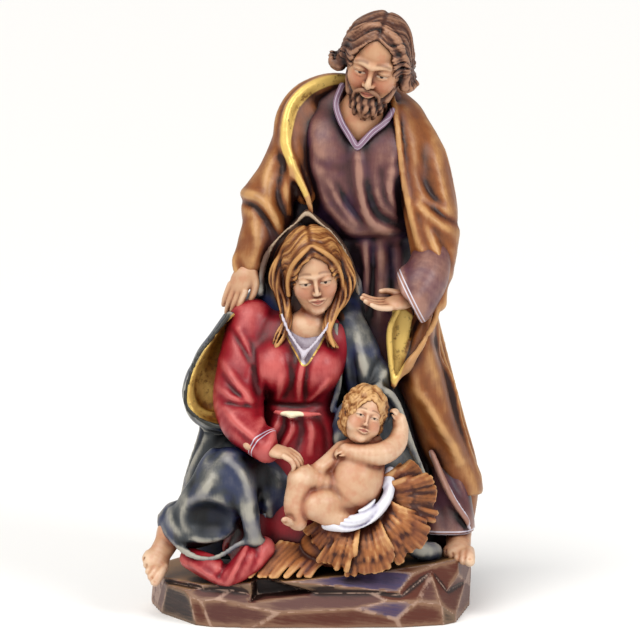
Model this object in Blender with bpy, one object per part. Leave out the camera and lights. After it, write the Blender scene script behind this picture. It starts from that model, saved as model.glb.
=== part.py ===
"""Holy family group: a standing man, a seated woman and a child on straw, carved from one block."""

from __future__ import annotations

import math
from dataclasses import dataclass, field
from enum import Enum
from typing import Sequence

import bpy
import numpy as np
import openvdb
from mathutils import Euler

# Driving sizes, in metres.
GROUP_HEIGHT = 0.300
BASE_WIDTH = 0.156
BASE_DEPTH = 0.114
BASE_HEIGHT = 0.024
BLADE_WIDTH = 0.0034

# The carving is drawn in millimetres at these nominal sizes.
DRAWN_HEIGHT = 300.0
DRAWN_WIDTH = 156.0
DRAWN_DEPTH = 114.0
DRAWN_BASE = 24.0
MILLIMETRE = 0.001

# How finely the surface is cut, and how many flat facets are left on it.
CUT_STEP = 1.5
FACETS = 9600
SEAM_FILLET = 0.8

# Widths of the carved folds, and how deep the pleats at the back are.
FINE_FOLD = 2.3
BROAD_FOLD = 3.2
PLEAT = 3.8
PLEAT_DEPTH = 2.6

FAR = 1000.0
CELL = 4
CELLS = 8

Row = Sequence[float]
Rows = Sequence[Row]


def smooth_path(points: Rows, per_span: int = 4) -> np.ndarray:
    """Rounds a short list of points into a curve through them."""
    p = np.asarray(points, float)
    if len(p) < 3:
        return p
    ends = np.vstack([2 * p[0] - p[1], p, 2 * p[-1] - p[-2]])
    t = np.arange(per_span)[:, None] / per_span
    spans = [
        0.5 * (2 * b + (c - a) * t + (2 * a - 5 * b + 4 * c - d) * t**2 + (3 * b - a - 3 * c + d) * t**3)
        for a, b, c, d in zip(ends, ends[1:], ends[2:], ends[3:])
    ]
    return np.vstack([*spans, p[-1:]])


def fan(first: Rows, last: Rows, count: int) -> list[np.ndarray]:
    """Spreads lines evenly between a first and a last one."""
    a, b = np.asarray(first, float), np.asarray(last, float)
    return [a + (b - a) * i / max(1, count - 1) for i in range(count)]


def blend_min(a: np.ndarray, b: np.ndarray, k: float) -> np.ndarray:
    """Joins two distances with a fillet about k wide."""
    if k <= 0:
        return np.minimum(a, b)
    h = np.clip(0.5 + 0.5 * (b - a) / k, 0, 1)
    return b + (a - b) * h - k * h * (1 - h)


def blend_max(a: np.ndarray, b: np.ndarray, k: float) -> np.ndarray:
    """Keeps what two distances share, with a rounded edge about k wide."""
    return -blend_min(-a, -b, k)


def step_up(x: np.ndarray, low: float, high: float) -> np.ndarray:
    """Goes smoothly from 0 at low to 1 at high."""
    t = np.clip((x - low) / (high - low), 0, 1)
    return t * t * (3 - 2 * t)


def turned(degrees: Row) -> np.ndarray:
    """The rotation matrix of an XYZ turn in degrees."""
    return np.array(Euler([math.radians(a) for a in degrees]).to_matrix(), float)


def facing(along: Row, palm: Row) -> np.ndarray:
    """Axes with X along one direction and -Z towards another."""
    x = np.asarray(along, float) / np.linalg.norm(along)
    z = -np.asarray(palm, float)
    z = z - (z @ x) * x
    z /= np.linalg.norm(z)
    return np.column_stack([x, np.cross(z, x), z])


def corners(low: np.ndarray, high: np.ndarray) -> np.ndarray:
    """The eight corners of a box."""
    return np.array([[x, y, z] for x in (low[0], high[0]) for y in (low[1], high[1])
                     for z in (low[2], high[2])])


class Form:
    """A solid form: its box, and the signed distance to its surface."""

    low: np.ndarray
    high: np.ndarray

    def distance(self, p: np.ndarray) -> np.ndarray:
        """The distance to the surface at each point, less than 0 inside."""
        raise NotImplementedError

    def near(self, low: np.ndarray, high: np.ndarray, reach: float) -> bool:
        """Whether the form's box comes within reach of another box."""
        return bool(np.all(self.low - reach <= high) and np.all(self.high + reach >= low))


class Ball(Form):
    """An ellipsoid."""

    def __init__(self, centre: Row, radii: Row | float, turn: Row = (0, 0, 0)):
        self.centre = np.asarray(centre, float)
        self.radii = np.ones(3) * np.asarray(radii, float)
        self.axes = turned(turn)
        reach = np.sqrt(((self.axes * self.radii) ** 2).sum(1))
        self.low, self.high = self.centre - reach, self.centre + reach

    def distance(self, p: np.ndarray) -> np.ndarray:
        q = ((p - self.centre) @ self.axes) / self.radii
        size = np.sqrt((q * q).sum(1)) + 1e-9
        slope = np.sqrt(((q / self.radii) ** 2).sum(1)) + 1e-9
        return size * (size - 1) / slope


class Limb(Form):
    """A round or flattened bar along a smooth path. Each row is x, y, z and radius."""

    def __init__(self, rows: Rows, flat: float = 1.0, across: Row = (0, 1, 0), per_span: int = 4):
        path = smooth_path(rows, per_span)
        self.points, self.sizes = path[:, :3], path[:, 3]
        self.flat, self.across = flat, np.asarray(across, float) / np.linalg.norm(across)
        reach = self.sizes[:, None] * max(1.0, flat)
        self.low, self.high = (self.points - reach).min(0), (self.points + reach).max(0)

    def squeezed(self, v: np.ndarray) -> np.ndarray:
        """Stretches space so that a round bar comes out flattened along one direction."""
        if self.flat == 1.0:
            return v
        return v + (v @ self.across)[..., None] * self.across * (1 / self.flat - 1)

    def distance(self, p: np.ndarray) -> np.ndarray:
        q, points = self.squeezed(p), self.squeezed(self.points)
        best = np.full(len(p), FAR)
        for a, b, ra, rb in zip(points, points[1:], self.sizes, self.sizes[1:]):
            along, rel = b - a, q - a
            t = np.clip(rel @ along / max(along @ along, 1e-9), 0, 1)
            rel -= t[:, None] * along
            np.minimum(best, np.sqrt((rel * rel).sum(1)) - (ra + t * (rb - ra)), out=best)
        return best * min(1.0, self.flat)


class Stack(Form):
    """A body of stacked rounded sections. Each row is height, left, right, front and back."""

    def __init__(self, rows: Rows, power: float = 2.2, edge: float = 3.0):
        table = smooth_path(sorted(rows), 8)
        table[:, 0] = np.maximum.accumulate(table[:, 0] + np.arange(len(table)) * 1e-6)
        self.table, self.power, self.edge = table, power, edge
        self.low = np.array([table[:, 1].min(), table[:, 3].min(), table[0, 0]])
        self.high = np.array([table[:, 2].max(), table[:, 4].max(), table[-1, 0]])

    def distance(self, p: np.ndarray) -> np.ndarray:
        height = self.table[:, 0]
        left, right, front, back = (np.interp(p[:, 2], height, self.table[:, i]) for i in range(1, 5))
        a, b = (right - left) / 2, (back - front) / 2
        x, y = np.abs(p[:, 0] - (left + right) / 2) / a, np.abs(p[:, 1] - (front + back) / 2) / b
        n = self.power
        size = (x**n + y**n) ** (1 / n) + 1e-6
        slope = np.sqrt((x ** (n - 1) / a) ** 2 + (y ** (n - 1) / b) ** 2) * size ** (1 - n) + 1e-6
        side = np.where(size < 0.3, -0.7 * np.minimum(a, b), (size - 1) / slope)
        ends = np.maximum(p[:, 2] - height[-1], height[0] - p[:, 2])
        return blend_max(side, ends, self.edge)


class Block(Form):
    """A convex block cut by planes. Each plane is a point on it and its outward direction."""

    def __init__(self, planes: Sequence[tuple[Row, Row]], low: Row, high: Row):
        self.planes = [(np.asarray(p, float), np.asarray(n, float) / np.linalg.norm(n)) for p, n in planes]
        self.low, self.high = np.asarray(low, float), np.asarray(high, float)

    def distance(self, p: np.ndarray) -> np.ndarray:
        return np.max([(p - point) @ out for point, out in self.planes], axis=0)


class Placed(Form):
    """A form made in its own frame, then scaled, turned and put in place."""

    def __init__(self, form: Form, place: Row, turn: Row | np.ndarray, scale: float):
        self.form, self.place, self.scale = form, np.asarray(place, float), scale
        self.axes = np.asarray(turn, float) if np.ndim(turn) == 2 else turned(turn)
        box = corners(form.low, form.high) @ self.axes.T * scale + self.place
        self.low, self.high = box.min(0), box.max(0)

    def distance(self, p: np.ndarray) -> np.ndarray:
        return self.form.distance((p - self.place) @ self.axes / self.scale) * self.scale


class Side(Enum):
    """The elevation in which a fold is drawn: its two axes, the axis looked along, and its sign."""

    FRONT = ("xz", "y", -1.0)
    BACK = ("xz", "y", 1.0)
    LEFT = ("yz", "x", -1.0)
    RIGHT = ("yz", "x", 1.0)


@dataclass
class Fold:
    """A ridge or, with a height under 0, a groove, drawn as a short line in one elevation."""

    points: Rows
    width: float
    height: float
    side: Side
    middle: float
    path: np.ndarray = field(init=False)

    def __post_init__(self) -> None:
        self.path = smooth_path(self.points, 5)
        self.low, self.high = self.path.min(0) - self.width * 2.2, self.path.max(0) + self.width * 2.2
        lengths = np.linalg.norm(np.diff(self.path, axis=0), axis=1)
        self.reached = np.concatenate([[0], np.cumsum(lengths)]) / lengths.sum()

    def lift(self, p: np.ndarray) -> np.ndarray:
        """How far the fold raises the surface at each point."""
        drawn, looked, sign = self.side.value
        u, v, across = ("xyz".index(axis) for axis in drawn + looked)
        out = np.zeros(len(p))
        inside = np.all((p[:, (u, v)] >= self.low) & (p[:, (u, v)] <= self.high), axis=1)
        if not inside.any():
            return out
        q = p[inside][:, (u, v)]
        best, where = np.full(len(q), FAR), np.zeros(len(q))
        for i, (a, b) in enumerate(zip(self.path, self.path[1:])):
            along, rel = b - a, q - a
            t = np.clip(rel @ along / max(along @ along, 1e-9), 0, 1)
            gap = np.linalg.norm(rel - t[:, None] * along, axis=1)
            step = self.reached[i] + t * (self.reached[i + 1] - self.reached[i])
            where = np.where(gap < best, step, where)
            best = np.minimum(best, gap)
        shape = np.exp(-((best / self.width) ** 2) * 1.4)
        ends = np.sin(np.pi * np.clip(where * 0.84 + 0.08, 0, 1)) ** 0.6
        out[inside] = self.height * shape * ends * step_up(sign * (p[inside, across] - self.middle), -2.0,
                                                           6.0)
        return out


class Carving(Form):
    """Forms joined and cut one after the other, then raised by folds."""

    def __init__(self, reach: float = 6.0):
        self.steps: list[tuple[str, Form, float]] = []
        self.lines: list[Fold] = []
        self.reach = reach
        self.low, self.high = np.full(3, FAR), np.full(3, -FAR)

    def add(self, form: Form, blend: float = 0.0) -> Carving:
        """Joins a form on, with a fillet."""
        self.steps.append(("add", form, blend))
        self.low, self.high = np.minimum(self.low, form.low), np.maximum(self.high, form.high)
        return self

    def cut(self, form: Form, blend: float = 0.0) -> Carving:
        """Cuts a form away, with a rounded lip."""
        self.steps.append(("cut", form, blend))
        return self

    def bar(self, *rows: Row, blend: float = 2.0) -> Carving:
        """Joins a round bar on."""
        return self.add(Limb(rows), blend)

    def groove(self, *rows: Row, blend: float = 2.0) -> Carving:
        """Cuts a round channel."""
        return self.cut(Limb(rows), blend)

    def folds(self, width: float, height: float, lines: Sequence[Rows], side: Side,
              middle: float) -> Carving:
        """Adds folds of one width and height or, with a height under 0, grooves."""
        self.lines += [Fold(points, width, height, side, middle) for points in lines]
        return self

    def distance(self, p: np.ndarray) -> np.ndarray:
        low, high = p.min(0), p.max(0)
        d = np.full(len(p), FAR)
        for kind, form, blend in self.steps:
            if form.near(low, high, blend + self.reach):
                other = form.distance(p)
                d = blend_min(d, other, blend) if kind == "add" else blend_max(d, -other, blend)
        for line in self.lines:
            d -= line.lift(p)
        return d


def head_form(jaw: float) -> Carving:
    """A head of height 1, centred between the ears and facing -Y."""
    h = Carving(0.2)
    h.add(Ball((0, 0.05, 0.12), (0.32, 0.40, 0.38)))
    h.add(Ball((0, -0.08, -0.10), (0.275, 0.28, 0.36)), 0.10)
    h.add(Ball((0, -0.15, -0.34), (jaw, 0.17, 0.14)), 0.10)
    brow = [(x, 1.3 * abs(x) ** 1.6 - 0.37, 0.065, 0.043) for x in (-0.17, -0.06, 0.06, 0.17)]
    h.bar(*brow, blend=0.06)
    for s in (-1, 1):
        h.add(Ball((s * 0.14, -0.23, -0.13), (0.11, 0.10, 0.12)), 0.08)
        h.cut(Ball((s * 0.125, -0.385, 0.0), (0.085, 0.06, 0.05)), 0.06)
        h.add(Ball((s * 0.125, -0.275, -0.005), 0.084), 0.015)
    nose = [(0, -0.335, 0.06, 0.022), (0, -0.375, -0.02, 0.026), (0, -0.425, -0.12, 0.038),
            (0, -0.42, -0.145, 0.04)]
    h.bar(*nose, blend=0.03)
    for z, out, r in ((-0.235, -0.38, 0.026), (-0.278, -0.368, 0.03)):
        h.bar((-0.09, -0.335, z, r * 0.5), (0, out, z, r), (0.09, -0.335, z, r * 0.5), blend=0.02)
    h.add(Ball((0, -0.29, -0.40), (0.08, 0.06, 0.06)), 0.06)
    return h


def hand_form(curl: float) -> Carving:
    """A hand of length 1: wrist at the origin, fingers along X, palm towards -Z, thumb towards +Y."""
    h = Carving(0.2)
    h.add(Limb([(-0.35, 0, 0.0, 0.15), (0.0, 0, 0.0, 0.135), (0.12, 0, 0, 0.15)], flat=0.8,
               across=(0, 0, 1)))
    h.add(Ball((0.27, 0, 0), (0.26, 0.21, 0.11)), 0.08)
    for i, (reach, side) in enumerate(((0.44, 0.15), (0.50, 0.05), (0.47, -0.05), (0.38, -0.145))):
        rows, at, bend = [], np.array([0.42, side, 0.01]), 0.0
        for share, size in ((0.0, 0.065), (0.42, 0.058), (0.32, 0.053), (0.26, 0.045)):
            a = math.radians(bend)
            at = at + reach * share * np.array([math.cos(a), 0.0, -math.sin(a)])
            rows.append((*at, size))
            bend += curl * (0.6 if share == 0 else 1.0)
        h.add(Limb(rows, per_span=2), 0.03)
    thumb = [(0.05, 0.12, -0.02, 0.085), (0.22, 0.24, -0.06, 0.075), (0.38, 0.26, -0.1, 0.06),
             (0.5, 0.25, -0.12, 0.048)]
    h.bar(*thumb, blend=0.05)
    return h


def foot_form() -> Carving:
    """A foot of length 1: ankle above the origin, toes along X, sole at z = -0.3."""
    f = Carving(0.2)
    f.bar((-0.08, 0, 0.25, 0.14), (-0.06, 0, 0.02, 0.145), (-0.12, 0, -0.14, 0.15))
    f.add(Limb([(-0.08, 0, -0.08, 0.16), (0.2, 0, -0.14, 0.16), (0.45, 0.01, -0.19, 0.12)], flat=1.15),
          0.08)
    f.add(Ball((0.42, 0.0, -0.18), (0.20, 0.22, 0.12)), 0.06)
    for i in range(5):
        side, far, size = 0.175 - 0.086 * i, 0.74 - 0.035 * i * (1 + 0.25 * i), 0.08 - 0.008 * i
        toe = [(0.45, side * 0.9, -0.17, size * 1.1), (far - 0.09, side, -0.175, size),
               (far, side, -0.215, size)]
        f.add(Limb(toe), 0.025)
    return f


@dataclass(frozen=True)
class Person:
    """What the three figures share: where the head is, how it is turned, and how tall it is."""

    place: tuple[float, float, float]
    turn: tuple[float, float, float]
    head: float
    jaw: float = 0.17

    def set_on(self, form: Form) -> Placed:
        """Puts a form drawn around a head of height 1 on this figure."""
        return Placed(form, self.place, self.turn, self.head)

    def face(self) -> Placed:
        """The head itself."""
        return self.set_on(head_form(self.jaw))


@dataclass(frozen=True)
class Standing(Person):
    """The man who stands behind and bends over the others."""

    def robe(self) -> Carving:
        """The long robe, bloused over a belt and open in a point at the neck."""
        r = Carving()
        r.add(Stack([
            (26, 8, 80, -6, 44), (60, 4, 76, -2, 44), (100, 0, 66, 0, 42), (150, -4, 57, 2, 40),
            (180, -4, 54, 0, 38), (190, -8, 56, -6, 38), (212, -9, 58, -8, 38), (238, -10, 58, -2, 38),
            (252, -4, 50, 2, 32), (262, 10, 38, 6, 28)], edge=5))
        for x in (8, 36):
            r.add(Ball((x, 2, 225), (15, 12, 20)), 12)
        sleeve = Carving().bar((60, -4, 190, 8), (59, -11, 177, 10), (56, -17, 168, 11.5),
                               (49, -21, 158, 13))
        cuff = Block([((47, -22, 160), (-0.89, 0, -0.44))], (20, -60, 130), (80, 10, 190))
        r.add(sleeve.cut(cuff, 0.8), 2)
        r.groove((38, -24, 151, 9.6), (48, -20.5, 158.5, 10.2), (55, -17, 167, 5), blend=0.8)
        r.bar((-5, 7, 216, 4.5), (-5.5, 6, 202, 5.5), (-6, 5, 190, 6), blend=3)
        r.add(Stack([(30, 60, 78, -6, 24), (50, 58, 78, -8, 24), (75, 60, 76, -7, 20)], edge=5), 4)
        r.add(Stack([
            (39, 53, 82, -21, 24), (46, 55, 81.5, -18, 24), (56, 57, 80, -13, 24), (75, 60, 76, -7, 20)],
            power=3, edge=1.2), 1)
        r.groove((25, 2, 266, 13), (25, -3, 252, 9.5), (22.5, -8, 240, 5), (22, -9, 234, 1.5))
        front = (Side.FRONT, 16)
        r.folds(FINE_FOLD, 2.6,
                fan([(14, 184), (12, 168), (9, 150)], [(44, 184), (45, 165), (44, 148)], 4), *front)
        r.folds(FINE_FOLD, -2.2,
                fan([(19, 183), (17, 168), (14, 150)], [(39, 184), (39, 165), (39, 148)], 3), *front)
        r.folds(BROAD_FOLD, 2.6, [[(22.5, 233), (24, 212), (28, 197), (37, 189)]], *front)
        r.folds(BROAD_FOLD, -2.4, [[(27, 214), (32, 200), (43, 192)], [(44, 216), (47, 204), (47, 194)]],
                *front)
        r.folds(FINE_FOLD, -2.6, [[(2, 187.5), (14, 186), (30, 186.5), (48, 188)]], *front)
        r.folds(BROAD_FOLD, -4.0, [[(-4, 240), (-3, 222), (2, 204)]], *front)
        r.folds(FINE_FOLD, 2.8, fan([(60, 82), (66, 62), (76, 46)], [(68, 82), (73, 64), (80, 48)], 2),
                *front)
        r.bar((59, -12.5, 80, 1), (64, -16, 69, 1.2), (71, -19.5, 58, 1.2), (77, -19.5, 48, 1.1),
              (79, -18.5, 41, 1))
        return r

    def shoulders(self) -> Carving:
        """The cloak over both arms, the left one lifted into a wide sleeve."""
        c = Carving()
        c.bar((44.5, 14, 243, 12), (52.5, 9, 229, 12.5), (57.5, 4, 208, 12.8), (60.5, -2, 190, 12.8),
              (60.5, -8, 172, 10.5), blend=6)
        c.bar((43, 4, 247, 6), (47.5, 0, 232, 7), (50.5, -3, 212, 7.5), (55.5, -8, 192, 7.5),
              (60.5, -14, 172, 6.5),
              (62, -16, 156, 5), blend=5)
        c.bar((-4, 14, 246, 12.5), (-8.5, 8, 230, 12.5), (-15.5, 3, 217, 11.5), (-22.5, 0, 205, 12.5),
              (-22.5, -3, 194, 12), (-25.5, -6, 184, 11.5), (-29, -9, 177, 9.5), blend=5)
        c.bar((20, 16, 263, 4), (8, 13, 262, 5.5), (-3, 11, 257, 6.5), (-9, 8, 250, 7),
              (-11.5, 4, 242, 7.5),
              (-11, 1, 232, 7), (-7, -1, 221, 6), (-3, -3, 208, 5), blend=3)
        return c

    def edges(self) -> Carving:
        """The cloak's rolled edges, and the lip of the sleeve."""
        c = Carving()
        c.bar((20, 12, 266, 1.5), (8, 9, 265, 1.9), (-2.5, 5, 261, 2.1), (-10, 1, 254, 2.3),
              (-13, -3, 246, 2.3),
              (-13.5, -5, 237, 2.4), (-11.5, -7, 228, 2.3), (-7, -9, 218, 2.1), (-2, -10, 207, 1.7),
              (0, -10, 198, 1.3))
        c.bar((40, 4, 257, 1.5), (42, -5, 244, 1.6), (46, -10, 213, 1.8), (51, -14, 193, 1.8),
              (58, -18, 172, 1.8),
              (61.5, -20, 160, 1.8), (60.5, -21, 147, 1.8), (53, -22, 133, 1.7), (44, -22, 121, 1.5),
              (40.5, -22, 115, 1.2))
        c.bar((40.5, -22, 115, 1.2), (39, -20, 128, 1.6), (38.5, -19, 143, 1.7), (43, -18, 153, 1.4),
              (46, -18, 158, 1))
        c.bar((-35, -10, 180, 2), (-37.5, -12, 176, 2.2), (-36, -14, 170.5, 2.2), (-31, -15, 172, 2),
              (-27, -13, 178, 1.8), blend=3)
        return c

    def cloak(self) -> Carving:
        """The cloak over both shoulders, open in front and hanging to the base at the back."""
        c = Carving()
        c.add(Stack([
            (24, 6, 80, 14, 50), (58, 4, 85, 12, 50), (90, 0, 76.5, 14, 50), (125, -4, 66.5, 15, 48),
            (150, -10, 61, 15, 46), (185, -16, 66, 15, 45), (215, -16, 64, 12, 43), (236, -13, 60, 10, 40),
            (248, -9, 54.5, 7, 36), (262, 6, 42, 10, 33)], edge=5))
        c.add(self.shoulders(), 6)
        c.add(Stack([
            (56.5, 67, 86.8, -7, 30), (63, 64, 85.2, -8, 30), (78, 55, 79, -11, 30),
            (95, 48, 73.5, -13, 30),
            (115, 42, 68.5, -16, 30), (130, 44, 63.8, -17, 30), (150, 54, 60.5, -14, 30)], power=3,
            edge=1.2), 3)
        c.cut(Stack([(192, 4, 46, -40, 9), (225, 2, 44, -40, 9), (250, 0, 44, -40, 8),
                     (264, 8, 40, -40, 10)]), 2)
        c.groove((-2, -8, 236, 5), (0, -10, 222, 5), (4, -12, 204, 4), (8, -12, 192, 2))
        c.groove((50, -23, 150, 6.5), (46, -23, 138, 5.8), (42, -23, 124, 3))
        c.add(Limb([(45, -12, 150, 5.5), (43.5, -13, 138, 5), (42, -15, 126, 3.4), (41, -18, 117, 1.6)],
                   flat=0.45), 1)
        c.add(self.edges(), 2.5)
        front = (Side.FRONT, 14)
        c.folds(BROAD_FOLD, 3.4, [[(-35.5, 209), (-27, 208), (-21, 202), (-15, 192)]], *front)
        c.folds(FINE_FOLD, -2.4, [[(-35, 205), (-28, 203), (-18, 188)], [(56, 205), (64, 199), (73, 193)]],
                *front)
        c.folds(BROAD_FOLD, 1.8,
                fan([(-17, 234), (-23, 216), (-17, 197)], [(-10, 224), (-12, 208), (-8, 194)], 2),
                *front)
        c.folds(BROAD_FOLD, 1.9,
                fan([(53, 204), (62, 196), (72, 189)], [(56, 196), (62, 182), (67, 170)], 2), *front)
        c.folds(BROAD_FOLD, 3.6, [[(56, 108), (63, 95), (70, 84), (74, 76)]], *front)
        c.folds(BROAD_FOLD, -2.4,
                [[(60, 138), (67, 116), (72, 98), (78, 78)], [(44, 108), (50, 96), (56, 84)]], *front)
        ridges = (
            [(-6, 236), (-9, 180), (-4, 110), (5, 50), (8, 26)], [(8, 196), (4, 150), (10, 90), (21, 26)],
            [(24, 240), (20, 180), (24, 110), (36, 26)], [(38, 184), (37, 130), (41, 80), (50, 26)],
            [(50, 238), (51, 180), (56, 110), (65, 50), (66, 26)],
            [(60, 150), (66, 100), (76, 50), (78, 26)])
        valleys = (
            [(0, 214), (-2, 170), (4, 100), (14, 40), (15, 26)],
            [(17, 226), (12, 170), (17, 100), (28, 26)],
            [(31, 206), (29, 150), (33, 90), (43, 26)], [(42, 230), (44, 170), (48, 100), (57, 26)],
            [(57, 200), (59, 140), (64, 80), (72, 26)])
        c.folds(PLEAT, PLEAT_DEPTH, ridges, Side.BACK, 22)
        c.folds(BROAD_FOLD, -PLEAT_DEPTH, valleys, Side.BACK, 22)
        first = [(8, 230), (6, 170), (4, 110), (2, 64)]
        c.folds(BROAD_FOLD, 2.2, fan(first, [(29, 230), (30, 170), (34, 110), (35, 64)], 4), Side.RIGHT, 48)
        return c

    def hair(self) -> Placed:
        """Hair parted in the middle, its ends turned outwards at the neck."""
        h = Carving(0.2).add(Ball((0, 0.05, 0.12), (0.372, 0.455, 0.43)))
        h.add(Ball((0, 0.20, -0.16), (0.33, 0.28, 0.30)), 0.1)
        h.cut(Ball((0, -0.46, -0.06), (0.285, 0.34, 0.47)), 0.04)
        h.cut(Block([((0, 0, -0.38), (0, 0, 1))], (-1, -1, -1), (1, 1, 1)), 0.05)
        swept = [
            (-0.03, -0.17, 0.49, 0.035), (-0.17, -0.16, 0.44, 0.045), (-0.28, -0.12, 0.33, 0.05),
            (-0.34, -0.06, 0.16, 0.055), (-0.37, -0.03, -0.02, 0.06), (-0.40, -0.03, -0.13, 0.075),
            (-0.46, -0.04, -0.14, 0.055), (-0.50, -0.04, -0.10, 0.03)]
        forelock = [
            (0.0, -0.17, 0.49, 0.035), (0.12, -0.21, 0.45, 0.045), (0.23, -0.23, 0.35, 0.05),
            (0.30, -0.19, 0.22, 0.05), (0.34, -0.12, 0.05, 0.055), (0.35, -0.06, -0.10, 0.065),
            (0.38, -0.06, -0.20, 0.07), (0.44, -0.07, -0.21, 0.035)]
        for path in (swept, forelock):
            for k in range(4):
                shift = np.array([(0.02 * k * x, 0.11 * k * (1 - 0.043 * j), -0.012 * k, 0)
                                  for j, (x, *_) in enumerate(path)])
                h.add(Limb(np.array(path) + shift), 0.03)
        return self.set_on(h)

    def beard(self) -> Placed:
        """A short curly beard in three rows of tufts, and a moustache."""
        b = Carving(0.2).add(Ball((0, -0.17, -0.37), (0.19, 0.19, 0.15)))
        b.cut(Ball((0, -0.40, -0.25), (0.085, 0.2, 0.035)), 0.02)
        for s in (-1, 1):
            cheek = [(s * 0.27, -0.06, -0.05, 0.03), (s * 0.26, -0.11, -0.2, 0.045),
                     (s * 0.2, -0.2, -0.34, 0.06)]
            lip = [(s * 0.01, -0.4, -0.2, 0.022), (s * 0.07, -0.395, -0.215, 0.026),
                   (s * 0.145, -0.33, -0.34, 0.02)]
            b.bar(*cheek, blend=0.04).bar(*lip, blend=0.01)
        for row, (height, out) in enumerate(((-0.30, 0.335), (-0.37, 0.355), (-0.44, 0.31))):
            for i in range(7):
                a = math.radians(22 * i + 7 * row - 66)
                x, y = math.sin(a), -math.cos(a)
                root, mid = (0.17 * x, out * y * 0.9 - 0.02, height), (0.2 * x, out * y - 0.03,
                                                                       height - 0.07)
                b.bar((*root, 0.035), (*mid, 0.036), (0.14 * x, out * y, height - 0.18, 0.012), blend=0.012)
        return self.set_on(b)

    def body(self) -> list[Form]:
        """Every form of the figure."""
        neck = Carving().bar((25, 14, 248.5, 11), (30, 6, 262.5, 10)).add(Ball((24, 2, 245), (12, 10, 15)),
                                                                          4)
        left = Placed(hand_form(9), (-31.5, -14, 174), facing((-0.42, -0.10, -0.9), (0.45, 0.85, -0.3)), 29)
        right = Placed(hand_form(14), (49, -24, 158), facing((-1.0, -0.16, -0.12), (0.0, -0.35, 1.0)), 27)
        foot = Placed(foot_form(), (73.5, -9.5, 40), facing((-0.05, -1.0, -0.16), (0, 0.16, -1)), 34)
        return [self.robe(), self.cloak(), neck, self.face(), self.hair(), self.beard(), left, right, foot]


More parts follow.
